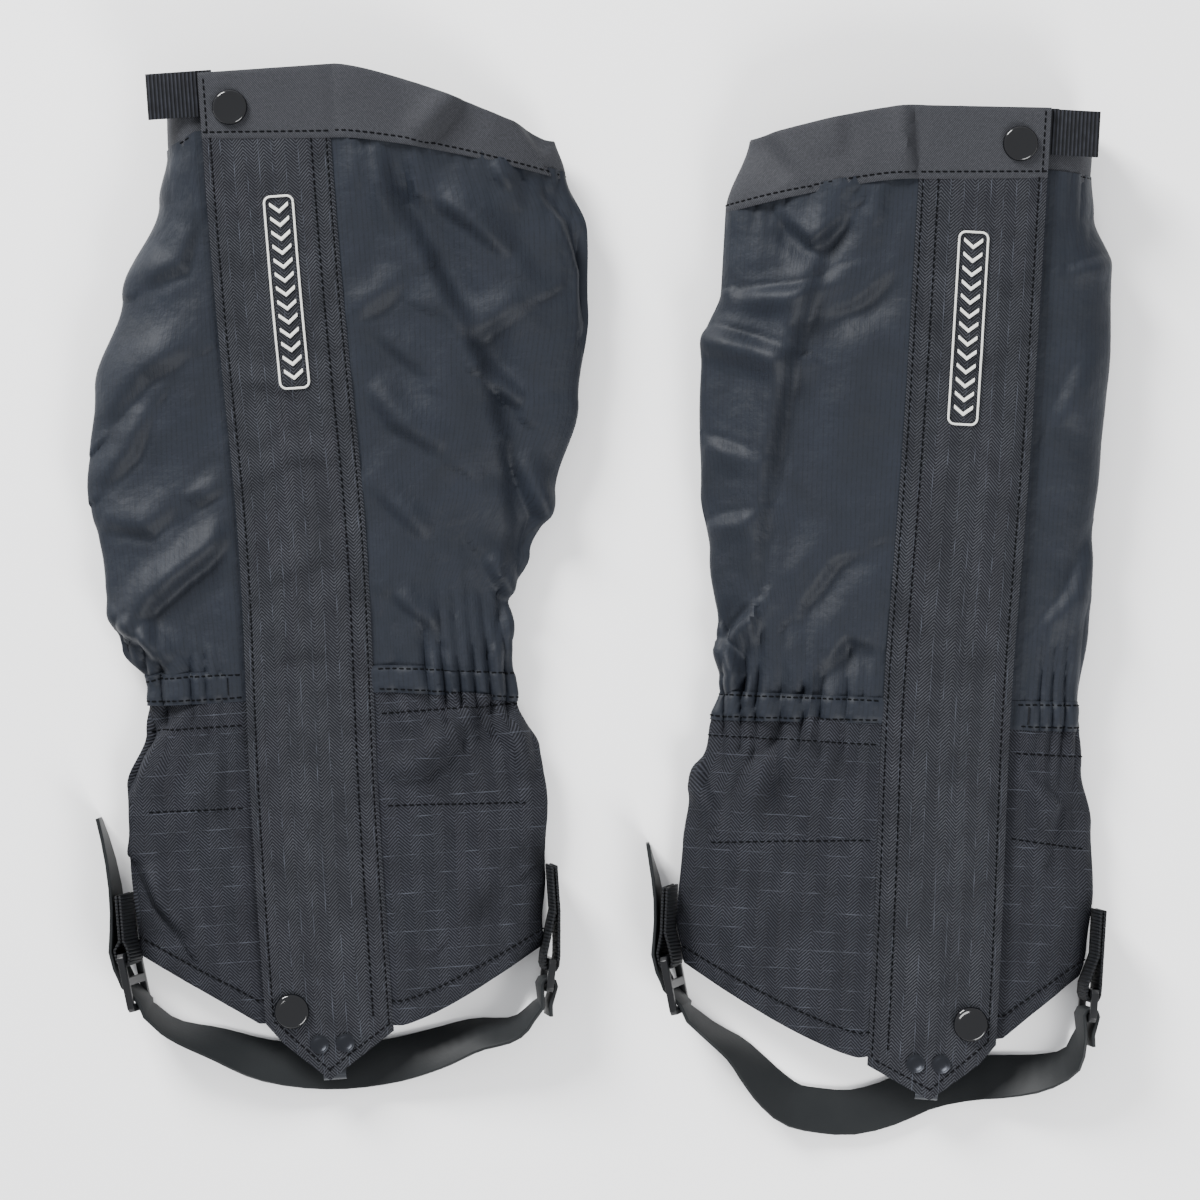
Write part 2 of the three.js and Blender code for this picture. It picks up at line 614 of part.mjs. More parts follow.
// A plate in the plane of the strap, with slots given as [start, end] along s.
function slottedPlate(frame, length, slots) {
  const half = FITTING_WIDTH / 2;
  const corner = BAR_WIDTH / 2;
  const outline = [
    [-length / 2, corner - half], [corner - length / 2, -half], [length / 2 - corner, -half],
    [length / 2, corner - half], [length / 2, half - corner], [length / 2 - corner, half],
    [corner - length / 2, half], [-length / 2, half - corner],
  ];
  const shape = new THREE.Shape(outline.map(([s, w]) => new THREE.Vector2(s, w)));
  for (const [start, end] of slots) {
    const inner = half - BUCKLE_RAIL;
    const cut = inner - SLOT_CHAMFER;
    const hole = [
      [start, -cut], [start, cut], [start + SLOT_CHAMFER, inner], [end - SLOT_CHAMFER, inner],
      [end, cut], [end, -cut], [end - SLOT_CHAMFER, -inner], [start + SLOT_CHAMFER, -inner],
    ];
    shape.holes.push(new THREE.Path(hole.map(([s, w]) => new THREE.Vector2(s, w))));
  }
  const geometry = new THREE.ExtrudeGeometry(shape, { depth: BUCKLE_THICKNESS, bevelEnabled: false });
  geometry.translate(0, 0, -BUCKLE_THICKNESS / 2);
  const third = frame.down.clone().cross(frame.width);
  return geometry.applyMatrix4(
    new THREE.Matrix4().makeBasis(frame.down, frame.width, third).setPosition(frame.origin),
  );
}

// Half a turn round a bar centred at s, from one face of the fitting to the other.
function halfTurn(s, radius, way) {
  const steps = 4;
  return Array.from({ length: steps + 1 }, (_, k) => {
    const angle = (k / steps) * Math.PI;
    return [s + way * radius * Math.sin(angle), -radius * Math.cos(angle)];
  });
}

// A strip's outline: a path of [s, n] points, with half the strip's thickness on either side.
function stripOutline(path, thickness) {
  const points = path.map(([s, n]) => new THREE.Vector2(s, n));
  const normals = points.slice(1).map((point, k) => {
    const along = point.clone().sub(points[k]).normalize();
    return new THREE.Vector2(-along.y, along.x);
  });
  const side = (way) => points.map((point, k) => {
    const before = normals[Math.max(k - 1, 0)];
    const after = normals[Math.min(k, normals.length - 1)];
    const mitre = before.clone().add(after).divideScalar(1 + before.dot(after));
    return point.clone().addScaledVector(mitre, (way * thickness) / 2);
  });
  return [...side(1), ...side(-1).reverse()];
}

// A webbing tab, sewn to the leg's edge at u = root and looped round its fitting's first bar.
function tabGeometry(frame, { root, side }, barStart) {
  const radius = BUCKLE_THICKNESS / 2 + WEBBING_THICKNESS / 2 + 0.8;
  const layer = WEBBING_THICKNESS / 2 + GAP;
  const bar = barStart + BAR_WIDTH * 0.77;
  const sewn = (n) =>
    [SWING_V + TAB_PATCH, SWING_V - TAB_PATCH].map((v) => {
      const point = new THREE.Vector3(root + side * n, v, frame.origin.z).sub(frame.origin);
      return [point.dot(frame.down), point.dot(frame.normal)];
    });
  const path = [
    ...sewn(-layer), [bar - LOOP_EASE, -radius], ...halfTurn(bar, radius, 1),
    [bar - LOOP_EASE, radius], ...sewn(layer).reverse(),
  ];
  const shape = new THREE.Shape(stripOutline(path, WEBBING_THICKNESS));
  const geometry = new THREE.ExtrudeGeometry(shape, { depth: STRAP_WIDTH, bevelEnabled: false });
  geometry.translate(0, 0, -STRAP_WIDTH / 2);
  const third = frame.down.clone().cross(frame.normal);
  return geometry.applyMatrix4(
    new THREE.Matrix4().makeBasis(frame.down, frame.normal, third).setPosition(frame.origin),
  );
}

// Strap stations along points of [u, v, tilt], leaning away from the leg by their tilt.
function planStations(spec, points, first, last, steps) {
  const middle = points.map(([u, v, tilt]) => {
    const lean = radians(tilt);
    const height = LIFT + (STRAP_WIDTH * Math.cos(lean) + STRAP_THICKNESS * Math.sin(lean)) / 2;
    return new THREE.Vector3(u, v, height);
  });
  const tilts = points.map(([, , tilt]) => new THREE.Vector3(tilt, 0, 0));
  const ends = [first, last].map((end) => end && new THREE.Vector3(end.tilt, 0, 0));
  const places = [first && first.centre, ...middle, last && last.centre].filter(Boolean);
  const curve = new THREE.CatmullRomCurve3(places);
  const leaning = new THREE.CatmullRomCurve3([ends[0], ...tilts, ends[1]].filter(Boolean));
  const stations = [];
  for (let k = 0; k <= steps; k++) {
    const along = curve.getTangent(k / steps);
    const lean = radians(leaning.getPoint(k / steps).x);
    const away = new THREE.Vector3(-along.y, along.x, 0).multiplyScalar(spec.buckle.side).normalize();
    const across = UP.clone().multiplyScalar(Math.cos(lean)).addScaledVector(away, Math.sin(lean));
    stations.push({ centre: curve.getPoint(k / steps), across });
  }
  return stations;
}

function strapGeometry(spec, buckle, ringFrame) {
  const threaded = [
    [-13, 5.2], [-7, 4.7], [-2, 3.4], [1.2, 2.9], [9.8, -3], [14, -3.5],
  ].map((place) => cornerStation(buckle, place));
  const bar = RING_SLOT / 2 + BAR_WIDTH * 0.23;
  const radius = BUCKLE_THICKNESS / 2 + STRAP_THICKNESS / 2 + 0.8;
  const layer = STRAP_THICKNESS / 2 + GAP;
  const looped = [
    [13, -layer - 0.5], ...halfTurn(bar, radius, -1), [13, layer + 0.5], [18, layer + 1.2],
  ].map((place) => cornerStation(ringFrame, place));
  const tailStart = { centre: threaded[0].centre, tilt: spec.buckle.tilt };
  const footStart = { centre: threaded.at(-1).centre, tilt: spec.buckle.tilt };
  const footEnd = { centre: looped[0].centre, tilt: spec.ring.tilt };
  const tail = planStations(spec, spec.tail, null, tailStart, 6);
  const foot = planStations(spec, spec.route, footStart, footEnd, 30);
  return ribbon(
    [...tail.slice(0, -1), ...threaded, ...foot.slice(1, -1), ...looped],
    STRAP_WIDTH, STRAP_THICKNESS,
  );
}

function strapPieces(spec, name) {
  const buckle = cornerFrame(spec.buckle);
  const ringFrame = cornerFrame(spec.ring);
  const start = -BUCKLE_LENGTH / 2;
  const tabSlot = start + BAR_WIDTH;
  const strapSlot = tabSlot + TAB_SLOT + BAR_WIDTH;
  const ladder = slottedPlate(buckle, BUCKLE_LENGTH, [
    [tabSlot, tabSlot + TAB_SLOT], [strapSlot, strapSlot + STRAP_SLOT],
  ]);
  const plain = slottedPlate(ringFrame, RING_LENGTH, [[-RING_SLOT / 2, RING_SLOT / 2]]);
  return [
    named(name("buckle_tab"), tabGeometry(buckle, spec.buckle, start), BLACK_WEBBING),
    named(name("ladder_buckle"), ladder, MOULDED_PLASTIC),
    named(name("ring_tab"), tabGeometry(ringFrame, spec.ring, -RING_LENGTH / 2), BLACK_WEBBING),
    named(name("strap_ring"), plain, MOULDED_PLASTIC),
    named(name("underfoot_strap"), strapGeometry(spec, buckle, ringFrame), SMOOTH_STRAP),
  ];
}

// The calf webbing's end, folded back on itself, sticking out from under the band's end.
function pullGeometry(spec) {
  const low = PLACKET_TOP + GAP;
  const high = PANEL_TOP;
  const outer = (high - low) / 2;
  const inner = GAP / 2;
  const middle = (high + low) / 2;
  const [end, top] = spec.pullEnd;
  const hidden = flapSpan(spec)[0] + PULL_LAP;
  const bend = end + outer;
  const profile = new THREE.Shape();
  profile.moveTo(hidden, low);
  profile.lineTo(hidden, middle - inner);
  profile.absarc(bend, middle, inner, -Math.PI / 2, Math.PI / 2, true);
  profile.lineTo(hidden, middle + inner);
  profile.lineTo(hidden, high);
  profile.absarc(bend, middle, outer, Math.PI / 2, -Math.PI / 2, false);
  const settings = { depth: STRAP_WIDTH, bevelEnabled: false, curveSegments: 6 };
  const geometry = new THREE.ExtrudeGeometry(profile, settings);
  geometry.applyMatrix4(new THREE.Matrix4().makeBasis(
    new THREE.Vector3(1, 0, 0), new THREE.Vector3(0, 0, 1), new THREE.Vector3(0, -1, 0),
  ));
  return geometry.translate(0, top, 0);
}

// ---- Assembly ----
function gaiter(spec) {
  const name = (piece) => spec.name + "_" + piece;
  const group = new THREE.Group();
  group.name = spec.name + "_shell";
  group.position.set(spec.point[0], spec.point[1], 0);
  group.rotation.z = radians(spec.lean);
  group.scale.x = spec.mirror;
  group.add(...sleevePieces(spec, name));

  const front = new THREE.Group();
  front.position.z = FRONT_AT_POINT;
  front.rotation.x = Math.atan(FRONT_RISE);
  front.add(...placketPieces(spec, name));
  front.add(named(name("calf_webbing"), pullGeometry(spec), BLACK_WEBBING));
  group.add(front);

  // The flap turns about its sewn edge.
  const hinge = flapSpan(spec)[1] + GAP;
  const flap = new THREE.Group();
  flap.name = spec.name + "_flap";
  flap.position.x = hinge;
  const flapParts = new THREE.Group();
  flapParts.position.x = -hinge;
  flapParts.add(...flapPieces(spec, name));
  flap.add(flapParts);
  front.add(flap);

  // The underfoot strap swings about the line through its tabs.
  const strap = new THREE.Group();
  strap.name = spec.name + "_strap";
  strap.position.set(0, SWING_V, cornerFrame(spec.buckle).origin.z);
  const strapParts = new THREE.Group();
  strapParts.position.copy(strap.position).negate();
  strapParts.add(...strapPieces(spec, name));
  strap.add(strapParts);
  group.add(strap);
  return group;
}

const pair = new THREE.Group();
pair.add(gaiter(LEFT), gaiter(RIGHT));

// The part's origin is on the table, under the middle of the pair.
const bounds = new THREE.Box3().setFromObject(pair, true);
const middle = bounds.getCenter(new THREE.Vector3());
pair.position.set(-middle.x, -middle.y, -bounds.min.z);

export default pair;
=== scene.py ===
import json
import math

import bpy
import numpy as np
from mathutils import Matrix, Vector, noise

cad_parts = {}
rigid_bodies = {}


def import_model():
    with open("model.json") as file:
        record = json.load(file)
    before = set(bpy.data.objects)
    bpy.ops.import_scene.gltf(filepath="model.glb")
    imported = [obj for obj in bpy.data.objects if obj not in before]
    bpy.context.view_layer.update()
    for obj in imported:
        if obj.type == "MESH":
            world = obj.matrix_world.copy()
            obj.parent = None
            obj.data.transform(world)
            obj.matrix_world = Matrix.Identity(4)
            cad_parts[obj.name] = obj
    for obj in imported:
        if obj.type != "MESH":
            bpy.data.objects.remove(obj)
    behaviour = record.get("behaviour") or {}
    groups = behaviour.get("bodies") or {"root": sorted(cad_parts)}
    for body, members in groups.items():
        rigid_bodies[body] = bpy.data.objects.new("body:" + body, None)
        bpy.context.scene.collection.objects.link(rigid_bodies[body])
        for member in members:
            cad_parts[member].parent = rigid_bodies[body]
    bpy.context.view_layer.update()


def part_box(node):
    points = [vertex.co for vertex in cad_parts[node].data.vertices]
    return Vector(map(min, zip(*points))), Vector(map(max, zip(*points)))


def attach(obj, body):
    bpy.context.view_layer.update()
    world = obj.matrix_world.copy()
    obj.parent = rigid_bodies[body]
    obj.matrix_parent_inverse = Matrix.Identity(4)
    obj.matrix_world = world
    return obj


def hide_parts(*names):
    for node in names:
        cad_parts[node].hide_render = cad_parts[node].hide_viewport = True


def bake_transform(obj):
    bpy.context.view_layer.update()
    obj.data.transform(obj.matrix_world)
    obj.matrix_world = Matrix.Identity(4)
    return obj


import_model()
bpy.ops.object.select_all(action="DESELECT")

# ---- Studio ----
# A white matte floor in a pale room, lit low by a large softbox beyond the calf ends and a
# weaker one on the near side, and seen from straight above.
MM = 0.001


def linear(code):
    """A #rrggbb colour as the linear values that a shader takes."""
    shares = [int(code[i:i + 2], 16) / 255 for i in (1, 3, 5)]
    return [c / 12.92 if c <= 0.04045 else ((c + 0.055) / 1.055) ** 2.4 for c in shares] + [1.0]


def new_material(name, colour, roughness, **values):
    """A material of one colour, whose pattern its own section adds."""
    material = bpy.data.materials.new(name)
    material.use_nodes = True
    tree = material.node_tree
    shader = tree.nodes["Principled BSDF"]
    shader.inputs["Base Color"].default_value = linear(colour)
    shader.inputs["Roughness"].default_value = roughness
    for key, value in values.items():
        shader.inputs[key.replace("_", " ")].default_value = value
    return material, tree, shader


bpy.ops.mesh.primitive_plane_add(size=8, location=(0, 0, 0))
floor = bpy.context.object
floor.name = "floor"
painted_board, tree, shader = new_material("matte_painted_board", "#ffffff", 0.9)
floor.data.materials.append(painted_board)

world = bpy.data.worlds.new("pale_room")
bpy.context.scene.world = world
world.use_nodes = True
world.node_tree.nodes["Background"].inputs["Color"].default_value = linear("#fbfcff")
world.node_tree.nodes["Background"].inputs["Strength"].default_value = 1.0

for name, place, size, power in (
    ("softbox_far", (-1.3, 1.8, 1.2), 0.9, 150),
    ("softbox_near", (0.9, -1.4, 1.2), 0.9, 52),
):
    bpy.ops.object.light_add(type="AREA", location=place)
    lamp = bpy.context.object
    lamp.name = name
    lamp.data.size = size
    lamp.data.energy = power
    lamp.rotation_euler = (-Vector(place)).to_track_quat("-Z", "Y").to_euler()

CAMERA_HEIGHT = 3.0
FRAME_WIDTH = 0.528
bpy.ops.object.camera_add(location=(-0.000155, 0.00104, CAMERA_HEIGHT), rotation=(0, 0, 0))
camera = bpy.context.object
camera.data.sensor_width = 36
camera.data.lens = 36 * (CAMERA_HEIGHT - 0.012) / FRAME_WIDTH
camera.data.clip_end = 20
bpy.context.scene.camera = camera

# ---- Calf panels ----
# One wide piece of navy ripstop nylon per gaiter, from one side of the front opening round the
# leg to the other. It is cut fuller than the leg and gathered into the elastic at the ankle,
# so it lies in soft folds.
SIDES = ("left", "right")
MIRROR = {"left": 1, "right": -1}
LEAN = {"left": 3.96, "right": -3.21}
POINT = {"left": (-119.655, -210.157), "right": (145.645, -218.954)}
FLAP_CENTRE = {"left": 2.4, "right": 1.2}
FLAP_HALF = 28
FRONT_AT_POINT = 16
FRONT_RISE = 0.05
EDGE_HEIGHT = 0.42
FLOOR_SHARE = 0.62
PANEL_TOP = -1.5
PLACKET_TOP = -3.9
# How far the sleeve's two ends reach under the flap from its sewn edge and its free edge
SEWN_REACH = 12
FREE_REACH = 3.7
# Points (v, u) of each side edge from the hem to the calf, thinned from a program's output and not
# designed
FREE_EDGE = {
    "left": [
        (55, -78), (100, -80), (135, -79), (158, -69), (178, -65), (195, -77), (225, -82),
        (270, -86), (310, -81), (350, -66), (390, -47), (410, -42), (440, -41),
    ],
    "right": [
        (55, -61), (70, -64), (95, -65.5), (125, -63), (150, -57), (180, -54), (210, -57),
        (250, -56), (290, -58), (330, -59.5), (370, -58), (392, -49), (410, -47), (440, -48),
    ],
}
HINGE_EDGE = {
    "left": [
        (50, 96), (60, 98), (85, 101), (118, 104), (140, 102), (160, 93), (180, 92), (205, 93),
        (225, 104), (250, 117), (290, 130), (330, 137), (365, 139), (390, 131), (408, 127),
    ],
    "right": [
        (50, 111), (75, 116), (108, 115), (130, 113), (155, 106), (175, 102), (200, 104.5),
        (235, 110.5), (262, 116), (300, 118.5), (328, 118.5), (350, 112), (385, 112), (418, 103),
    ],
}
# Where each seam crosses the free side, the flap's two edges and the hinge side
CASING_HIGH = {"left": (183, 182, 180, 174), "right": (178, 177, 175, 174)}
BAND_SEAM = {"left": (409, 416, 412.5, 388), "right": (406, 407, 403.5, 385)}


def edge_at(edge, v):
    """How far out an edge is at height v, along a smooth line through its points."""
    heights = [height for height, _ in edge]
    v = min(max(v, heights[0]), heights[-1])
    after = min(max(int(np.searchsorted(heights, v, side="right")), 1), len(edge) - 1)
    (v0, u0), (v1, u1) = edge[after - 1], edge[after]
    share = (v - v0) / (v1 - v0)
    return u0 + (u1 - u0) * share * share * (3 - 2 * share)


def quarter(u0, z0, u1, z1, count):
    """A quarter of an ellipse from (u0, z0), level there, to (u1, z1), upright there."""
    angle = np.linspace(0, math.pi / 2, count + 1)[1:]
    return np.stack([u0 + (u1 - u0) * np.sin(angle), z1 + (z0 - z1) * np.cos(angle)], -1)


def level(u0, u1, z, count):
    return np.stack([np.linspace(u0, u1, count), np.full(count, z)], -1)


def sleeve_ring(side, seam, start, end, hinge_top):
    """Once round the sleeve at a slanted seam: from under the flap's sewn edge, round the
    hinge side, along the back, and round the free side to under the flap's free edge."""
    v_free, v_left, v_right, v_hinge = seam
    free, hinge = edge_at(FREE_EDGE[side], v_free), edge_at(HINGE_EDGE[side], v_hinge)
    top = FRONT_AT_POINT + FRONT_RISE * (v_left + v_right) / 2
    edge = top * EDGE_HEIGHT
    bend, free_bend = FLAP_CENTRE[side] + FLAP_HALF + 4, FLAP_CENTRE[side] - FLAP_HALF - 3
    low = top + PLACKET_TOP
    right = np.vstack([
        level(start, bend, top + hinge_top, 5),
        quarter(bend, top + hinge_top, hinge, edge, 46),
    ])
    back = np.vstack([
        quarter(hinge * FLOOR_SHARE, 0, hinge, edge, 8)[-2::-1],
        level(hinge * FLOOR_SHARE, free * FLOOR_SHARE, 0, 16),
        quarter(free * FLOOR_SHARE, 0, free, edge, 8)[:-1],
    ])
    left = np.vstack([
        quarter(free_bend, low, free, edge, 40)[::-1],
        level(free_bend, end, low, 5),
    ])
    u = np.concatenate([right[:, 0], back[:, 0], left[:, 0]])
    z = np.concatenate([right[:, 1], back[:, 1], left[:, 1]])
    front = np.ones(len(u), bool)
    front[len(right):len(right) + len(back)] = False
    out_right = np.clip((u - bend) / (hinge - bend), 0, 1) ** 1.3
    out_left = np.clip((free_bend - u) / (free_bend - free), 0, 1)
    inner = np.clip((u - free_bend) / (bend - free_bend), 0, 1)
    v_front = v_left + (v_right - v_left) * inner
    v_front = v_front + (v_hinge - v_right) * out_right + (v_free - v_left) * out_left
    v_back = v_free + (v_hinge - v_free) * (u - free) / (hinge - free)
    return np.stack([u, np.where(front, v_front, v_back), z], -1)


def sleeve_grid(side, low, high, rows):
    """Rings of one panel from its lower seam to its upper one."""
    low, high = np.array(low, float), np.array(high, float)
    start = FLAP_CENTRE[side] + FLAP_HALF - SEWN_REACH
    end = FLAP_CENTRE[side] - FLAP_HALF + FREE_REACH
    return np.stack([
        sleeve_ring(side, low + (high - low) * k / rows, start, end, PANEL_TOP)
        for k in range(rows + 1)
    ])


def normals_of(grid):
    """The outward direction at each point of a grid of points."""
    across, along = np.gradient(grid, axis=1), np.gradient(grid, axis=0)
    normal = np.cross(across, along)
    return normal / np.maximum(np.linalg.norm(normal, axis=-1, keepdims=True), 1e-9)


def in_part(points, side):
    """Points of a gaiter's own frame, in mm, as points of the part's frame, in metres."""
    turn = math.radians(LEAN[side])
    u, v = points[..., 0] * MIRROR[side], points[..., 1]
    x = POINT[side][0] + u * math.cos(turn) - v * math.sin(turn)
    y = POINT[side][1] + u * math.sin(turn) + v * math.cos(turn)
    return np.stack([x, y, points[..., 2]], -1) * MM


def belongs(piece, body, node=None):
    """Says which body a piece moves with and hides the model's node that it replaces."""
    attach(piece, body)
    if node:
        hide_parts(node)


def cloth_piece(name, grid, side, thickness, material):
    """A closed sheet of cloth about a grid of points, with a UV map in mm along the cloth."""
    normal = normals_of(grid)
    half = np.asarray(thickness)[..., None] / 2 if np.ndim(thickness) else thickness / 2
    faces_out = grid + normal * half
    faces_in = grid - normal * half
    rows, columns = grid.shape[:2]
    points = in_part(np.concatenate([faces_out.reshape(-1, 3), faces_in.reshape(-1, 3)]), side)
    index = np.arange(rows * columns).reshape(rows, columns)
    outer = np.stack(
        [index[:-1, :-1], index[:-1, 1:], index[1:, 1:], index[1:, :-1]], -1
    ).reshape(-1, 4)
    inner = outer[:, ::-1] + rows * columns
    rim = np.concatenate([index[0, :-1], index[:-1, -1], index[-1, :0:-1], index[:0:-1, 0]])
    after = np.roll(rim, -1)
    wall = np.stack([after, rim, rim + rows * columns, after + rows * columns], -1)
    faces = np.concatenate([outer, inner, wall])
    if MIRROR[side] < 0:
        faces = faces[:, ::-1]
    mesh = bpy.data.meshes.new(name)
    mesh.from_pydata(points.tolist(), [], faces.tolist())
    across = np.linalg.norm(np.diff(grid, axis=1), axis=-1)[rows // 2]
    across = np.concatenate([[0], np.cumsum(across)])
    across_map = np.broadcast_to(across, (rows, columns))
    cloth_map = np.stack([across_map, grid[..., 1]], -1).reshape(-1, 2)
    cloth_map = np.concatenate([cloth_map, cloth_map])
    layer = mesh.uv_layers.new(name="cloth")
    corners = np.empty(len(mesh.loops), int)
    mesh.loops.foreach_get("vertex_index", corners)
    layer.data.foreach_set("uv", cloth_map[corners].astype(np.float32).ravel())
    mesh.materials.append(material)
    piece = bpy.data.objects.new(name, mesh)
    bpy.context.collection.objects.link(piece)
    smooth(piece, 50)
    return piece


def smooth(piece, degrees):
    """Smooth shading, with the corners sharper than this angle kept."""
    bpy.ops.object.select_all(action="DESELECT")
    piece.select_set(True)
    bpy.context.view_layer.objects.active = piece
    bpy.ops.object.shade_smooth_by_angle(angle=math.radians(degrees))
    piece.select_set(False)


FOLD_DEPTH = 1.9
GATHER_PITCH = 8.5
CLEAR_OF_FLOOR = 0.75


def folds(u, v, lines):
    """The height of folds: each is a line, the bulge along its left side in mm, and how wide
    it is. The line itself is a crease."""
    height = np.zeros(u.shape)
    for line, rise, width in lines:
        line = np.array(line, float)
        steps = np.diff(line, axis=0)
        lengths = np.linalg.norm(steps, axis=1)
        run = np.concatenate([[0], np.cumsum(lengths)])
        nearest = np.full(u.shape, np.inf)
        off, along = np.zeros(u.shape), np.zeros(u.shape)
        for start, step, length, before in zip(line, steps, lengths, run):
            du, dv = u - start[0], v - start[1]
            share = np.clip((du * step[0] + dv * step[1]) / length ** 2, 0, 1)
            gap = np.hypot(du - share * step[0], dv - share * step[1])
            closer = gap < nearest
            side_of = np.sign(step[0] * dv - step[1] * du)
            nearest = np.where(closer, gap, nearest)
            off = np.where(closer, gap * side_of, off)
            along = np.where(closer, (before + share * length) / run[-1], along)
        taper = np.sin(math.pi * np.clip(along, 0.04, 0.96)) ** 0.6
        bulge = np.exp(-(((off - width * 0.8) / width) ** 2))
        crease = np.exp(-((off / (0.42 * width)) ** 2))
        far = np.exp(-(((off + width * 0.9) / (1.1 * width)) ** 2))
        height += FOLD_DEPTH * rise * taper * (bulge - 0.55 * crease - 0.22 * far)
    return height


def crumple(u, v, seed, size):
    """Soft crumples of a size in mm, between about -1 and 1."""
    flat = [
        noise.noise(Vector((a / size, b / (size * 1.5), seed)))
        + 0.5 * noise.noise(Vector((a / size * 2.3, b / size * 1.7, seed + 7.1)))
        for a, b in zip(u.ravel(), v.ravel())
    ]
    return np.array(flat).reshape(u.shape)


def pleats(u, seed, pitch):
    """Uneven gathers across a seam, between 0 at each pinch and 1 on each puff."""
    wander = np.array([noise.noise(Vector((a / 21, seed, 0.3))) for a in u.ravel()])
    return np.abs(np.sin(math.pi * u / pitch + 3.1 * wander.reshape(u.shape))) ** 0.7


# Most of the lines in the tables of folds and seam rows are a program's output. Their rises and
# widths are chosen.
CALF_FOLDS = {
    "left": [
        ([(46, 402), (56, 383), (68, 354), (81, 325), (90, 298), (94, 268), (95, 240),
          (92, 224)], -3.4, 10),
        ([(71, 381), (88, 367), (103, 351)], 2.4, 6),
        ([(116, 384), (128, 368), (134, 346), (132, 322)], -2.6, 6),
        ([(72, 330), (89, 318), (113, 333)], 2.6, 9),
        ([(88, 303), (103, 287)], 3.0, 5),
        ([(97, 271), (108, 240), (100, 216)], 3.0, 6),
        ([(32, 328), (50, 337), (63, 348)], 1.9, 8),
        ([(40, 325), (51, 315), (63, 303)], 1.5, 6),
        ([(34, 303), (47, 283), (69, 268)], 2.4, 8),
        ([(36, 256), (50, 241), (58, 231)], 1.6, 6),
        ([(41, 210), (59, 193)], 1.5, 5),
        ([(82, 225), (92, 204), (86, 188)], 2.8, 6),
        ([(-57, 351), (-36, 358), (-28, 378)], 2.0, 8),
        ([(-75, 291), (-55, 312), (-36, 321)], 2.2, 9),
        ([(-79, 265), (-64, 278), (-53, 300)], 2.0, 7),
        ([(-84, 248), (-60, 243), (-45, 256)], 2.0, 8),
        ([(-70, 203), (-50, 220), (-20, 241)], 3.4, 8),
        ([(-80, 206), (-66, 192), (-60, 184)], 4.0, 6),
        ([(-42, 253), (-22, 263)], 1.4, 5),
        ([(47, 408), (46, 385), (50, 366)], 1.8, 4.5),
        ([(62, 404), (63, 384), (69, 371)], 1.6, 4.5),
        ([(36, 409), (35, 388)], 1.4, 4),
        ([(96, 396), (104, 382)], 1.6, 4.5),
    ],
    "right": [
        ([(59, 391), (70, 354), (78, 317), (84, 264), (88, 218)], 3.2, 9),
        ([(119, 335), (110, 333), (96, 330), (79, 325)], 3.4, 7),
        ([(89, 386), (74, 374), (59, 388)], -2.8, 6),
        ([(105, 351), (80, 354), (64, 361)], 2.4, 6),
        ([(68, 343), (53, 350), (38, 365)], -2.2, 8),
        ([(115, 287), (93, 280)], 1.4, 6),
        ([(115, 249), (91, 256)], 1.4, 6),
        ([(73, 211), (57, 236), (44, 241)], -2.0, 7),
        ([(103, 198), (90, 214)], 3.0, 5),
        ([(100, 198), (92, 183), (97, 171)], 3.4, 5),
        ([(65, 181), (50, 202), (33, 199)], -2.2, 7),
        ([(-31, 208), (-46, 228), (-55, 256)], 1.8, 7),
        ([(-37, 369), (-56, 376)], 1.4, 5),
        ([(42, 400), (44, 380)], 1.4, 4.5),
        ([(-34, 300), (-44, 330)], 1.2, 8),
    ],
}


def settle(grid, side, lines, seed, swell, gather_low, gather_high, casing):
    """Moves a panel's grid out along itself: folds, crumples, and gathers next to its seams."""
    u, v = grid[..., 0], grid[..., 1]
    normal = normals_of(grid)
    facing = np.clip(normal[..., 2] * 1.6, 0, 1)
    off_flap = np.abs(u - FLAP_CENTRE[side]) - FLAP_HALF
    clear = np.clip((off_flap + 1) / 9, 0, 1)
    rise = folds(u, v, lines) + swell * crumple(u, v, seed, 34)
    rise = rise + 0.35 * crumple(u, v, seed + 3, 11)
    outward = np.clip(off_flap / 30, 0, 1) ** 1.2
    for seam, reach, height in ((gather_low, 19, 4.6), (gather_high, 22, 1.6)):
        if seam is None:
            continue
        away = np.abs(np.arange(grid.shape[0]) - seam)[:, None] * np.abs(np.diff(v, axis=0)).mean()
        fade = np.exp(-away / reach)
        strength = outward if casing else 0.35 + 0.65 * outward
        rise = rise + height * strength * fade * (pleats(u, seed, GATHER_PITCH) - 0.55)
    rise = rise * clear * facing
    moved = grid + normal * rise[..., None]
    back = normal[..., 2] < -0.2
    ruck = 0.5 + 0.5 * np.abs(crumple(u, v, seed + 11, 26)) * 1.8
    lifted = np.maximum(moved[..., 2], CLEAR_OF_FLOOR) + ruck * 0.9
    moved[..., 2] = np.maximum(np.where(back, lifted, moved[..., 2]), CLEAR_OF_FLOOR)
    return moved


def add(tree, kind, inputs=None, **settings):
    """Adds a node with its settings, its values and the sockets that feed it."""
    made = tree.nodes.new(kind)
    for key, value in settings.items():
        setattr(made, key, value)
    for key, value in (inputs or {}).items():
        if isinstance(value, bpy.types.NodeSocket):
            tree.links.new(value, made.inputs[key])
        else:
            made.inputs[key].default_value = value
    return made


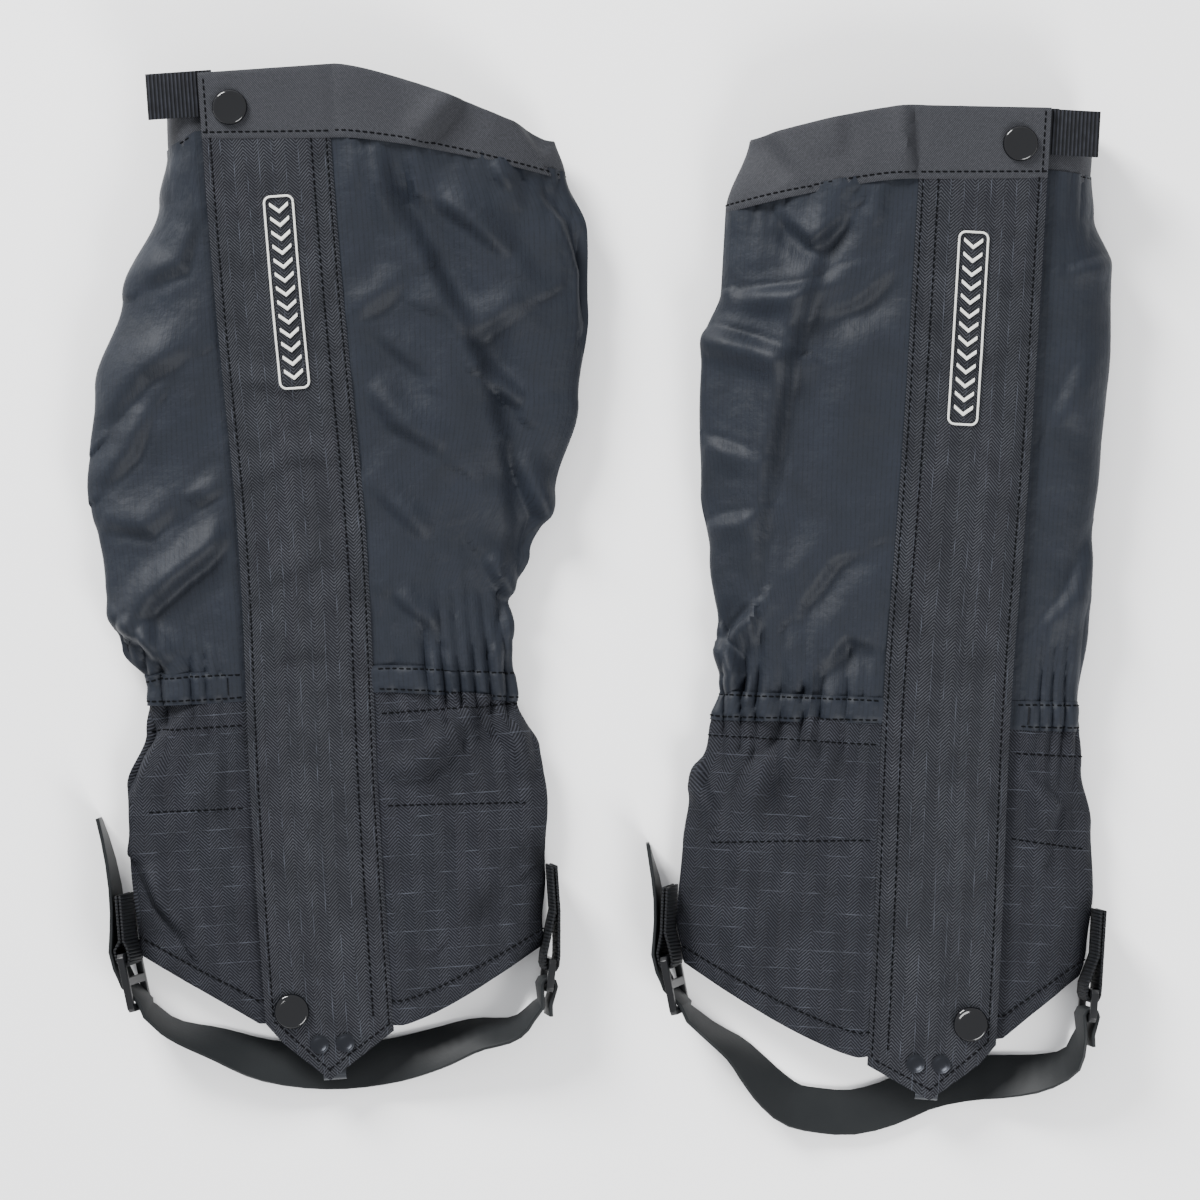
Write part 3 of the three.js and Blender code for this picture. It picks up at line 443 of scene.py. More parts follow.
def line_threads(tree, along, spacing, width):
    """1 on thin threads at a spacing along a coordinate in mm, and 0 between them."""
    scaled = add(tree, "ShaderNodeMath", {0: along, 1: 1 / spacing}, operation="MULTIPLY")
    share = add(tree, "ShaderNodeMath", {0: scaled.outputs[0]}, operation="FRACT")
    centred = add(tree, "ShaderNodeMath", {0: share.outputs[0], 1: 0.5}, operation="SUBTRACT")
    off = add(tree, "ShaderNodeMath", {0: centred.outputs[0]}, operation="ABSOLUTE")
    edge = width / spacing
    line = add(tree, "ShaderNodeMapRange", {
        "Value": off.outputs[0], "From Min": edge * 0.4, "From Max": edge, "To Min": 1.0,
        "To Max": 0.0,
    })
    return line.outputs["Result"]


def cloth_axes(tree):
    """The cloth's own coordinates in mm, across and along the gaiter."""
    cloth = add(tree, "ShaderNodeUVMap", uv_map="cloth")
    split = add(tree, "ShaderNodeSeparateXYZ", {0: cloth.outputs["UV"]})
    return cloth.outputs["UV"], split.outputs["X"], split.outputs["Y"]


# Ripstop nylon: a fine plain weave with a calendered face that shines softly on the folds,
# and a thicker thread every 2.2 mm, which shows as a faint dark line.
ripstop, tree, shader = new_material(
    "woven_ripstop_nylon", "#10151d", 0.6, Specular_IOR_Level=0.22, Sheen_Weight=0.03,
    Sheen_Roughness=0.4,
)
uv, across, along = cloth_axes(tree)
warp = line_threads(tree, across, 2.2, 0.42)
weft = line_threads(tree, along, 2.6, 0.3)
weft_faint = add(tree, "ShaderNodeMath", {0: weft, 1: 0.35}, operation="MULTIPLY")
grid_threads = add(
    tree, "ShaderNodeMath", {0: warp, 1: weft_faint.outputs[0]}, operation="MAXIMUM",
)
broken = add(tree, "ShaderNodeTexNoise", {"Vector": uv, "Scale": 0.35, "Detail": 3.0})
seen = add(tree, "ShaderNodeMapRange", {
    "Value": broken.outputs["Fac"], "From Min": 0.35, "From Max": 0.6, "To Min": 0.08,
    "To Max": 0.5,
})
threads = add(tree, "ShaderNodeMath", {
    0: grid_threads.outputs[0], 1: seen.outputs["Result"],
}, operation="MULTIPLY")
mottle = add(tree, "ShaderNodeTexNoise", {"Vector": uv, "Scale": 0.05, "Detail": 4.0})
base = add(tree, "ShaderNodeMix", {
    "Factor": mottle.outputs["Fac"], 6: linear("#0f131a"), 7: linear("#191e27"),
}, data_type="RGBA")
coloured = add(tree, "ShaderNodeMix", {
    "Factor": threads.outputs[0], 6: base.outputs[2], 7: linear("#0c0f15"),
}, data_type="RGBA")
tree.links.new(coloured.outputs[2], shader.inputs["Base Color"])
thread_bump = add(tree, "ShaderNodeBump", {
    "Height": threads.outputs[0], "Strength": 0.25, "Distance": 0.0002,
})
small = add(tree, "ShaderNodeTexNoise", {"Vector": uv, "Scale": 0.16, "Detail": 4.0})
soft_bump = add(tree, "ShaderNodeBump", {
    "Height": small.outputs["Fac"], "Strength": 0.5, "Distance": 0.0012,
    "Normal": thread_bump.outputs["Normal"],
})
tree.links.new(soft_bump.outputs["Normal"], shader.inputs["Normal"])

CLOTH = 0.9
CALF_ROWS = 150
calf_grids = {}
for side in SIDES:
    low = np.array(CASING_HIGH[side]) - 1.0
    high = np.array(BAND_SEAM[side]) + 3.0
    grid = sleeve_grid(side, low, high, CALF_ROWS)
    seed = 2.0 + SIDES.index(side)
    grid = settle(grid, side, CALF_FOLDS[side], seed, 2.2, 0, CALF_ROWS, False)
    calf_grids[side] = grid
    panel = cloth_piece(side + "_calf_panel", grid, side, CLOTH, ripstop)
    belongs(panel, side + "_shell", side + "_upper_panel")

# ---- Ankle casings ----
# A narrow tunnel of the same nylon, sewn over a flat elastic with a row of stitches on each
# side. The elastic draws it into small upright gathers away from the flap.
CASING_LOW = {"left": (170, 169.5, 169.5, 161), "right": (166, 165.5, 165, 162)}
CASING_ROWS = 14
CASING = 1.4
casing_grids = {}
for side in SIDES:
    low, high = np.array(CASING_LOW[side]) - 0.6, np.array(CASING_HIGH[side]) + 0.6
    grid = sleeve_grid(side, low, high, CASING_ROWS)
    share = np.linspace(-1, 1, CASING_ROWS + 1)[:, None]
    u = grid[..., 0]
    normal = normals_of(grid)
    off_flap = np.abs(u - FLAP_CENTRE[side]) - FLAP_HALF
    clear = np.clip((off_flap + 1) / 9, 0, 1) * np.clip(normal[..., 2] * 1.6, 0, 1)
    puff = 0.35 + 1.0 * (1 - share ** 4)
    gather = 4.2 * np.clip(off_flap / 28, 0.25, 1) ** 1.2
    rise = clear * (puff + gather * (pleats(u, 2.0 + SIDES.index(side), GATHER_PITCH) - 0.5))
    pinch = clear * 0.5 * np.exp(-(((np.abs(share) - 0.8) / 0.12) ** 2))
    grid = grid + normal * (rise - pinch)[..., None]
    grid[..., 2] = np.maximum(grid[..., 2], 1.2)
    casing_grids[side] = grid
    casing = cloth_piece(side + "_elastic_casing", grid, side, CASING, ripstop)
    belongs(casing, side + "_shell", side + "_ankle_casing")

# ---- Boot panels ----
# Heavy black nylon canvas from the ankle down over the boot, with a bound hem that rises from
# the toe to the heel. It is stiffer than the calf's nylon, so its folds are fewer.
HEM = {"left": (60, 27, 22, 52), "right": (58, 29, 17, 54)}
BOOT_FOLDS = {
    "left": [
        ([(-78, 100), (-72, 82), (-60, 65)], 3.4, 6),
        ([(33, 127), (52, 131), (66, 142), (79, 158)], 2.6, 7),
        ([(77, 156), (88, 140), (92, 124)], 2.4, 6),
        ([(-77, 129), (-68, 150), (-48, 167)], -2.4, 7),
        ([(-40, 112), (-34, 150)], 1.2, 7),
        ([(60, 60), (84, 78)], 1.4, 9),
        ([(40, 164), (44, 148)], 1.4, 4),
        ([(66, 160), (70, 144)], 1.8, 4),
    ],
    "right": [
        ([(99, 119), (88, 144), (70, 160)], 3.0, 8),
        ([(73, 158), (73, 146), (67, 124)], -2.2, 6),
        ([(-35, 148), (-50, 134), (-46, 116)], 2.8, 6),
        ([(108, 150), (106, 134), (99, 122)], 2.4, 5),
        ([(48, 160), (50, 140)], 1.4, 5),
        ([(90, 84), (70, 60)], 1.2, 9),
        ([(58, 158), (57, 144)], 1.6, 4),
    ],
}
BOOT_ROWS = 110
CANVAS = 1.1
HEM_DEPTH = 7
HEM_EXTRA = 0.9


def canvas_material(name, light, dark, threads_along):
    """Nylon canvas in a fine broken twill, with a single pale ripstop thread at intervals."""
    material, tree, shader = new_material(name, dark, 0.7, Specular_IOR_Level=0.12)
    uv, across, along = cloth_axes(tree)
    # Columns 5 mm wide whose twill lines, 1.5 mm apart, slope one way and then the other;
    # the real thread is half that, which is too fine to show.
    column = add(tree, "ShaderNodeMath", {0: across, 1: 5.0}, operation="PINGPONG")
    slope = add(tree, "ShaderNodeMath", {0: column.outputs[0], 1: along}, operation="ADD")
    twill = line_threads(tree, slope.outputs[0], 1.5, 0.5)
    speck = add(tree, "ShaderNodeTexNoise", {"Vector": uv, "Scale": 0.9, "Detail": 3.0})
    worn = add(tree, "ShaderNodeTexNoise", {"Vector": uv, "Scale": 0.06, "Detail": 4.0})
    weave = add(tree, "ShaderNodeMath", {0: twill, 1: speck.outputs["Fac"]}, operation="MULTIPLY")
    ground = add(tree, "ShaderNodeMix", {
        "Factor": weave.outputs[0], 6: linear(dark), 7: linear(light),
    }, data_type="RGBA")
    shade = add(tree, "ShaderNodeMapRange", {
        "Value": worn.outputs["Fac"], "From Min": 0.3, "From Max": 0.7, "To Max": 0.5,
    })
    mottled = add(tree, "ShaderNodeMix", {
        "Factor": shade.outputs["Result"], 6: ground.outputs[2], 7: linear("#0e0f13"),
    }, data_type="RGBA")
    spacing, run = (6.1, across) if threads_along else (8.4, along)
    stripe = line_threads(tree, run, spacing, 0.34)
    stretched = add(tree, "ShaderNodeMapping", {
        "Vector": uv, "Scale": (1.0, 0.12, 1.0) if threads_along else (0.12, 1.0, 1.0),
    })
    broken = add(tree, "ShaderNodeTexNoise", {
        "Vector": stretched.outputs["Vector"], "Scale": 0.9, "Detail": 2.0,
    })
    seen = add(tree, "ShaderNodeMapRange", {
        "Value": broken.outputs["Fac"], "From Min": 0.45, "From Max": 0.7, "To Max": 0.7,
    })
    line = add(
        tree, "ShaderNodeMath", {0: stripe, 1: seen.outputs["Result"]}, operation="MULTIPLY",
    )
    striped = add(tree, "ShaderNodeMix", {
        "Factor": line.outputs[0], 6: mottled.outputs[2], 7: linear("#474a52"),
    }, data_type="RGBA")
    tree.links.new(striped.outputs[2], shader.inputs["Base Color"])
    height = add(tree, "ShaderNodeMath", {0: weave.outputs[0], 1: stripe}, operation="MAXIMUM")
    weave_bump = add(tree, "ShaderNodeBump", {
        "Height": height.outputs[0], "Strength": 0.8, "Distance": 0.0005,
    })
    rumple = add(tree, "ShaderNodeTexNoise", {"Vector": uv, "Scale": 0.11, "Detail": 4.0})
    bump = add(tree, "ShaderNodeBump", {
        "Height": rumple.outputs["Fac"], "Strength": 0.5, "Distance": 0.0012,
        "Normal": weave_bump.outputs["Normal"],
    })
    tree.links.new(bump.outputs["Normal"], shader.inputs["Normal"])
    return material


boot_canvas = canvas_material("woven_nylon_canvas", "#43454d", "#111216", False)
boot_grids = {}
for side in SIDES:
    grid = sleeve_grid(side, HEM[side], np.array(CASING_LOW[side]) + 1.5, BOOT_ROWS)
    seed = 2.0 + SIDES.index(side)
    grid = settle(grid, side, BOOT_FOLDS[side], seed, 1.1, BOOT_ROWS, None, True)
    hem_rows = np.linspace(0, np.mean(CASING_LOW[side]) - np.mean(HEM[side]), BOOT_ROWS + 1)
    folded_over = CANVAS + HEM_EXTRA * (hem_rows < HEM_DEPTH)
    folded_over[0] = CANVAS
    thickness = np.repeat(folded_over[:, None], grid.shape[1], axis=1)
    boot_grids[side] = grid
    panel = cloth_piece(side + "_boot_panel", grid, side, thickness, boot_canvas)
    belongs(panel, side + "_shell", side + "_lower_panel")

# ---- Top bands ----
# Dark grey polyester twill, doubled over the calf panel's top edge. It runs from the end of
# the flap, over the flap's sewn edge, and all the way round to under the flap.
BAND_TOP = {"left": (434, 444, 444, 405), "right": (433, 437, 435, 417)}
BAND_ROWS = 30
BAND_THICKNESS = 1.8
BAND_PROUD = 0.5
BAND_OVER_FLAP = 24
BAND_FOLDS = {
    "left": [
        ([(70, 404), (78, 412), (97, 431)], 2.6, 7),
        ([(106, 424), (111, 412), (121, 396)], -2.4, 7),
        ([(60, 440), (66, 420), (62, 408)], 1.2, 7),
    ],
    "right": [
        ([(34, 436), (33, 424), (29, 404)], 1.7, 5),
        ([(96, 424), (80, 402)], -1.4, 8),
        ([(62, 434), (60, 410)], 1.0, 8),
    ],
}
twill_cloth, tree, shader = new_material(
    "woven_polyester_twill", "#2a2b30", 0.68, Specular_IOR_Level=0.14,
)
uv, across, along = cloth_axes(tree)
# Steep twill lines 1.2 mm apart, twice as coarse as the real ones so that they show
slope = add(tree, "ShaderNodeMath", {0: across, 1: 1.3, 2: along}, operation="MULTIPLY_ADD")
twill = line_threads(tree, slope.outputs[0], 1.2, 0.45)
speck = add(tree, "ShaderNodeTexNoise", {"Vector": uv, "Scale": 0.8, "Detail": 3.0})
weave = add(tree, "ShaderNodeMath", {0: twill, 1: speck.outputs["Fac"]}, operation="MULTIPLY")
ground = add(tree, "ShaderNodeMix", {
    "Factor": weave.outputs[0], 6: linear("#1e1f22"), 7: linear("#45464b"),
}, data_type="RGBA")
tree.links.new(ground.outputs[2], shader.inputs["Base Color"])
weave_bump = add(tree, "ShaderNodeBump", {
    "Height": weave.outputs[0], "Strength": 0.4, "Distance": 0.0003,
})
rumple = add(tree, "ShaderNodeTexNoise", {"Vector": uv, "Scale": 0.07, "Detail": 4.0})
bump = add(tree, "ShaderNodeBump", {
    "Height": rumple.outputs["Fac"], "Strength": 0.5, "Distance": 0.0015,
    "Normal": weave_bump.outputs["Normal"],
})
tree.links.new(bump.outputs["Normal"], shader.inputs["Normal"])


band_grids = {}
for side in SIDES:
    free = FLAP_CENTRE[side] - FLAP_HALF
    low, high = np.array(BAND_SEAM[side], float) - 0.8, np.array(BAND_TOP[side], float)
    rings = []
    for row in range(BAND_ROWS + 1):
        seam = low + (high - low) * row / BAND_ROWS
        over_edge = FLAP_CENTRE[side] + FLAP_HALF + 0.6
        ring = sleeve_ring(side, seam, over_edge, free + FREE_REACH, 0)
        u = np.linspace(free, over_edge, BAND_OVER_FLAP + 1)[:-1]
        share = (u - free) / (2 * FLAP_HALF)
        top = np.stack([u, seam[1] + (seam[2] - seam[1]) * share, np.full(len(u), ring[0, 2])], -1)
        rings.append(np.concatenate([top, ring]))
    grid = np.stack(rings)
    u, v = grid[..., 0], grid[..., 1]
    normal = normals_of(grid)
    facing = np.clip(normal[..., 2] * 1.6, 0, 1)
    over = np.arange(grid.shape[1]) < BAND_OVER_FLAP
    calm = np.where(over[None, :], 0.35, 1.0) * facing
    rise = calm * (folds(u, v, BAND_FOLDS[side]) + 0.9 * crumple(u, v, 21.0, 26))
    under = (np.arange(grid.shape[1]) > grid.shape[1] - 9)[None, :] & (normal[..., 2] > 0)
    rise = np.where(under, 0, rise) + np.where(over[None, :] | (u > 34), BAND_PROUD, 0)
    grid = grid + normal * (rise - BAND_THICKNESS / 2)[..., None]
    grid[..., 2] = np.maximum(grid[..., 2], BAND_THICKNESS / 2 + 0.2)
    edges = np.abs(np.linspace(-1, 1, BAND_ROWS + 1))
    doubled = BAND_THICKNESS * np.sqrt(1 - 0.75 * np.clip((edges - 0.93) / 0.07, 0, 1) ** 2)
    thickness = np.repeat(doubled[:, None], grid.shape[1], axis=1)
    split = BAND_OVER_FLAP + 5 + 46
    band_grids[side] = grid
    front = cloth_piece(
        side + "_front_band", grid[:, :split + 1], side, thickness[:, :split + 1], twill_cloth,
    )
    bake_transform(front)
    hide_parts(side + "_flap_band_end")
    back = cloth_piece(
        side + "_back_band", grid[:, split:], side, thickness[:, split:], twill_cloth,
    )
    belongs(back, side + "_shell", side + "_top_band")

# ---- Storm flaps ----
# A long strip of two layers of canvas whose pale ripstop threads run its whole length. Its
# edges are turned in and topstitched, and its lower end is cut to a point over the laces.
FLAP_POINT = {"left": (1, 0), "right": (1, 0)}
FLAP_CORNERS = {"left": ((-25.6, 27), (30.4, 20)), "right": ((-26.8, 26), (29.2, 14))}
FLAP_BOW = {"left": (3.2, 237, 85), "right": (2.2, 175, 80)}
FLAP_THICKNESS = 1.5
FLAP_ROWS = 210
FLAP_COLUMNS = 40
FLAP_FOLDS = {
    "left": [
        ([(-22, 306), (-8, 304), (10, 297)], 0.9, 5),
        ([(-20, 262), (4, 270), (24, 268)], 0.8, 6),
        ([(-16, 216), (10, 226), (28, 222)], 0.8, 6),
        ([(28, 246), (8, 240)], 0.7, 5),
        ([(-20, 180), (2, 186), (20, 182)], 0.7, 6),
        ([(-10, 120), (14, 112)], 0.6, 7),
    ],
    "right": [
        ([(26, 230), (6, 236), (-12, 228)], 0.9, 5),
        ([(-22, 262), (-4, 268)], 0.7, 5),
        ([(24, 196), (0, 204), (-20, 200)], 0.9, 5),
        ([(26, 214), (10, 210)], 0.7, 4),
        ([(-20, 330), (6, 322)], 0.6, 6),
        ([(-16, 150), (12, 156)], 0.7, 6),
    ],
}
flap_canvas = canvas_material("woven_nylon_canvas_flap", "#4b4d53", "#131418", True)


def bowed(side, v):
    """How far the flap bends sideways at height v, lying on the curve of the leg."""
    reach, middle, length = FLAP_BOW[side]
    return reach * np.exp(-(((v - middle) / length) ** 2))


def flap_surface(side, u, v):
    """The flap's face at a flat place on it, with its bow and its small folds."""
    wrinkle = folds(u, v, FLAP_FOLDS[side]) + 0.5 * crumple(u, v, 31.0, 17)
    off = np.abs(u - FLAP_CENTRE[side]) / FLAP_HALF
    top_end = np.clip((BAND_SEAM[side][1] - v) / 14, 0, 1)
    z = FRONT_AT_POINT + FRONT_RISE * v + wrinkle * top_end + 0.35 * (1 - off ** 2) * top_end
    return np.stack([u + bowed(side, v), v, z], -1)


flap_grids = {}
for side in SIDES:
    free, sewn = FLAP_CENTRE[side] - FLAP_HALF, FLAP_CENTRE[side] + FLAP_HALF
    (_, corner_v), (_, sewn_v) = FLAP_CORNERS[side]
    u = np.linspace(free, sewn, FLAP_COLUMNS + 1)
    low = np.interp(
        u, [free, free + 7, FLAP_POINT[side][0], sewn],
        [corner_v, corner_v - 9, FLAP_POINT[side][1], sewn_v],
    )
    _, seam_free, seam_sewn, _ = BAND_SEAM[side]
    high = seam_free + (seam_sewn - seam_free) * (u - free) / (2 * FLAP_HALF)
    share = np.linspace(0, 1, FLAP_ROWS + 1)[:, None]
    v = low + (high + 2 - low) * share
    u = np.broadcast_to(u, v.shape)
    grid = flap_surface(side, u, v)
    grid[..., 2] -= FLAP_THICKNESS / 2 + 0.15
    from_side = np.minimum(u - free, sewn - u)
    from_end = v - low
    turned_in = np.clip((8.5 - np.minimum(from_side, from_end)) / 1.2, 0, 1)
    rolled = np.clip(1 - np.minimum(from_side, from_end) / 1.0, 0, 1) ** 2
    thickness = FLAP_THICKNESS + 0.45 * turned_in - 0.9 * rolled
    flap_grids[side] = grid
    flap = cloth_piece(side + "_flap_cloth", grid, side, thickness, flap_canvas)
    belongs(flap, side + "_flap", side + "_storm_flap")

# ---- Plackets and hook-and-loop tapes ----
# Under the flap, a canvas placket finishes the free side of the opening. Hook tape is sewn
# along it and loop tape along the flap, so they close on each other from ankle to calf.
PLACKET_WIDTH = 36
TAPE_WIDTH = 20
TAPE_RUN = (52, 398)


def front_strip(name, side, left, width, run, face, thickness, material, wave=0.25):
    """A flat strip in the plane of the front, with its face at a depth below the flap's face."""
    u, v = np.meshgrid(
        np.linspace(left, left + width, 15), np.linspace(run[0], run[1], 120),
    )
    z = FRONT_AT_POINT + FRONT_RISE * v + face - thickness / 2
    z = z + wave * crumple(u, v, 41.0, 30)
    return cloth_piece(name, np.stack([u, v, z], -1), side, thickness, material)


def tape_material(name, colour, size, height):
    """Nylon hook-and-loop tape: a dense pile that drinks the light, in rows 1.6 mm apart."""
    material, tree, shader = new_material(name, colour, 0.88, Specular_IOR_Level=0.1)
    uv, across, along = cloth_axes(tree)
    pile = add(tree, "ShaderNodeTexVoronoi", {"Vector": uv, "Scale": size}, feature="F1")
    rows = line_threads(tree, across, 1.6, 0.6)
    mixed = add(tree, "ShaderNodeMath", {0: pile.outputs["Distance"], 1: rows}, operation="ADD")
    bump = add(tree, "ShaderNodeBump", {
        "Height": mixed.outputs[0], "Strength": 0.8, "Distance": height,
    })
    tree.links.new(bump.outputs["Normal"], shader.inputs["Normal"])
    return material


hook_pile = tape_material("nylon_hook_tape", "#121316", 1.1, 0.0006)
loop_pile = tape_material("nylon_loop_tape", "#141518", 0.7, 0.0005)
placket_pieces = {}
for side in SIDES:
    free = FLAP_CENTRE[side] - FLAP_HALF
    run = (HEM[side][1] - 6, BAND_TOP[side][1] - 1)
    placket = front_strip(
        side + "_placket_cloth", side, free + 4, PLACKET_WIDTH, run, PLACKET_TOP, 1.2, boot_canvas,
    )
    belongs(placket, side + "_shell", side + "_front_placket")
    placket_pieces[side] = placket
    hooks = front_strip(
        side + "_hook_strip", side, free + 4, TAPE_WIDTH, TAPE_RUN, -2.7, 0.9, hook_pile, 0.1,
    )
    belongs(hooks, side + "_shell", side + "_hook_tape")
    loops = front_strip(
        side + "_loop_strip", side, free + 4, TAPE_WIDTH, TAPE_RUN, -1.7, 0.8, loop_pile, 0.0,
    )
    belongs(loops, side + "_flap", side + "_loop_tape")

# ---- Stitching ----
# Rows of black polyester thread, each stitch about 2.4 mm long and sunk a little into the
# cloth. They hold the flap's turned edges, the band, the elastic's tunnel and the hems.


def grained(tree, shader, scale, detail, strength, depth):
    """Fine bumps of a grain all over a piece. Returns the coordinates that it uses."""
    place = add(tree, "ShaderNodeTexCoord").outputs["Object"]
    grain = add(tree, "ShaderNodeTexNoise", {"Vector": place, "Scale": scale, "Detail": detail})
    bump = add(tree, "ShaderNodeBump", {
        "Height": grain.outputs["Fac"], "Strength": strength, "Distance": depth,
    })
    tree.links.new(bump.outputs["Normal"], shader.inputs["Normal"])
    return place


bonded_thread, tree, shader = new_material(
    "bonded_polyester_thread", "#0a0b0d", 0.8, Specular_IOR_Level=0.05,
)
grained(tree, shader, 1800.0, 2.0, 0.4, 0.0001)


def spaced_along(line, pitch):
    """Points at an even pitch along a line, with its direction at each."""
    steps = np.linalg.norm(np.diff(line, axis=0), axis=1)
    run = np.concatenate([[0], np.cumsum(steps)])
    at = np.arange(pitch / 2, run[-1], pitch)
    points = np.stack([np.interp(at, run, line[:, k]) for k in range(3)], -1)
    ahead = np.stack([np.interp(at + 0.4, run, line[:, k]) for k in range(3)], -1)
    behind = np.stack([np.interp(at - 0.4, run, line[:, k]) for k in range(3)], -1)
    way = ahead - behind
    return points, way / np.maximum(np.linalg.norm(way, axis=1, keepdims=True), 1e-9)


def thread_piece(name, side, runs, length, width, height, material):
    """One mesh of short threads. Each run is (centres, directions, outward normals) in mm."""
    angle = np.arange(6) / 6 * 2 * math.pi
    rings = [(-0.5, 0.0), (-0.34, 1.0), (0.34, 1.0), (0.5, 0.0)]
    template = [(-0.5, 0, 0)]
    for at, wide in rings[1:3]:
        template += [(at, 0.5 * wide * math.cos(a), 0.5 * wide * math.sin(a)) for a in angle]
    template += [(0.5, 0, 0)]
    template = np.array(template) * (length, width, height)
    faces = [(0, 1 + (k + 1) % 6, 1 + k) for k in range(6)]
    faces += [(1 + k, 1 + (k + 1) % 6, 7 + (k + 1) % 6, 7 + k) for k in range(6)]
    faces += [(13, 7 + k, 7 + (k + 1) % 6) for k in range(6)]
    points, polygons = [], []
    for centres, ways, normals in runs:
        beside = np.cross(normals, ways)
        beside /= np.maximum(np.linalg.norm(beside, axis=1, keepdims=True), 1e-9)
        upright = np.cross(ways, beside)
        for centre, way, over, up in zip(centres, ways, beside, upright):
            first = len(points) * 14
            points.append(centre + template @ np.stack([way, over, up]))
            polygons += [tuple(first + k for k in face) for face in faces]
    mesh = bpy.data.meshes.new(name)
    vertices = in_part(np.concatenate(points), side)
    if MIRROR[side] < 0:
        polygons = [face[::-1] for face in polygons]
    mesh.from_pydata(vertices.tolist(), [], polygons)
    mesh.materials.append(material)
    piece = bpy.data.objects.new(name, mesh)
    bpy.context.collection.objects.link(piece)
    smooth(piece, 80)
    return piece


STITCH = 2.4
THREAD_WIDTH, THREAD_HEIGHT = 0.75, 0.5
STITCH_PITCH = 3.1


def sewing(name, side, runs):
    """One mesh of black stitches."""
    return thread_piece(
        name, side, runs, STITCH, THREAD_WIDTH, THREAD_HEIGHT, bonded_thread,
    )


def stitched(line, normals, thickness):
    """A row of stitches on the outer face of cloth whose middle follows a line."""
    centres, ways = spaced_along(line + normals * (thickness / 2 + 0.08), STITCH_PITCH)
    near = ((centres[:, None] - line[None]) ** 2).sum(-1).argmin(1)
    return centres, ways, normals[near]


def front_row(grid, side, v_at, u_from, u_to):
    """A line across the front of a panel at a height that may change with u."""
    normal = normals_of(grid)
    points, outward = [], []
    for column in range(grid.shape[1]):
        u = grid[grid.shape[0] // 2, column, 0]
        if not u_from <= u <= u_to or normal[grid.shape[0] // 2, column, 2] < 0.15:
            continue
        run = grid[:, column, 1]
        v = v_at(u)
        if not run[0] <= v <= run[-1]:
            continue
        points.append([np.interp(v, run, grid[:, column, k]) for k in range(3)])
        outward.append([np.interp(v, run, normal[:, column, k]) for k in range(3)])
    order = np.argsort([p[0] for p in points])
    return np.array(points)[order], np.array(outward)[order]


BOOT_SEAM_ROWS = {
    "left": [(-72, 123, -26, 122), (33, 119, 95, 116)],
    "right": [(33, 113, 104, 108), (-61, 114, -28, 117)],
}
for side in SIDES:
    free, sewn = FLAP_CENTRE[side] - FLAP_HALF, FLAP_CENTRE[side] + FLAP_HALF
    runs = []
    grid = casing_grids[side]
    for row in (2, CASING_ROWS - 2):
        line, normal = grid[row], normals_of(grid)[row]
        keep = (normal[:, 2] > 0.1) & (np.abs(line[:, 0] - FLAP_CENTRE[side]) > FLAP_HALF)
        for half in (line[:, 0] > 0, line[:, 0] < 0):
            chosen = keep & half
            runs.append(stitched(line[chosen], normal[chosen], CASING))
    low_seam = CASING_LOW[side]
    for span in ((sewn + 1, 140), (-100, free - 1)):
        drop = 10 if span[0] > 0 else 11
        line, normal = front_row(
            boot_grids[side], side, lambda u: low_seam[1 if u < 0 else 2] - drop, *span,
        )
        runs.append(stitched(line, normal, CANVAS))
    for u0, v0, u1, v1 in BOOT_SEAM_ROWS[side]:
        line, normal = front_row(
            boot_grids[side], side, lambda u: v0 + (v1 - v0) * (u - u0) / (u1 - u0), u0, u1,
        )
        runs.append(stitched(line, normal, CANVAS))
    hem_row = int(np.ceil(HEM_DEPTH / (np.mean(low_seam) - np.mean(HEM[side])) * BOOT_ROWS)) + 1
    line, normal = boot_grids[side][hem_row], normals_of(boot_grids[side])[hem_row]
    for half in (line[:, 0] > sewn - 8, line[:, 0] < free + 2):
        chosen = half & (normal[:, 2] > 0.05)
        runs.append(stitched(line[chosen], normal[chosen], CANVAS + HEM_EXTRA))
    band = band_grids[side]
    line, normal = band[3], normals_of(band)[3]
    chosen = slice(25, band.shape[1] - 8)
    runs.append(stitched(line[chosen], normal[chosen], BAND_THICKNESS))
    threads = sewing(side + "_shell_stitching", side, runs)
    belongs(threads, side + "_shell")

    runs = []
    (_, corner_v), (_, sewn_v) = FLAP_CORNERS[side]
    tip_u = FLAP_POINT[side][0]
    seam = BAND_SEAM[side][1]
    up = np.array([0, -FRONT_RISE, 1.0])
    for start, end in (
        ((free + 3.6, seam), (free + 3.6, corner_v + 1)),
        ((free + 3.6, corner_v + 1), (tip_u, 4.8)),
        ((tip_u, 4.8), (sewn - 2, sewn_v + 3)),
        ((sewn - 1.9, sewn_v + 3), (sewn - 1.9, seam - 3)),
        ((sewn - 8.6, seam - 3), (sewn - 8.6, sewn_v + 6)),
    ):
        share = np.linspace(0, 1, 160)[:, None]
        flat = np.array(start) * (1 - share) + np.array(end) * share
        line = flap_surface(side, flat[:, 0], flat[:, 1]) + (0, 0, 0.1)
        centres, ways = spaced_along(line, STITCH_PITCH)
        runs.append((centres, ways, np.broadcast_to(up, centres.shape)))
    threads = sewing(side + "_flap_stitching", side, runs)
    belongs(threads, side + "_flap")

    runs = []
    line, normal = band[3][:25], normals_of(band)[3][:25]
    runs.append(stitched(line, normal, BAND_THICKNESS))
    line, normal = band[2:-2, 1], normals_of(band)[2:-2, 1]
    runs.append(stitched(line, normal, BAND_THICKNESS))
    threads = sewing(side + "_band_end_stitching", side, runs)
    belongs(threads, side + "_flap")

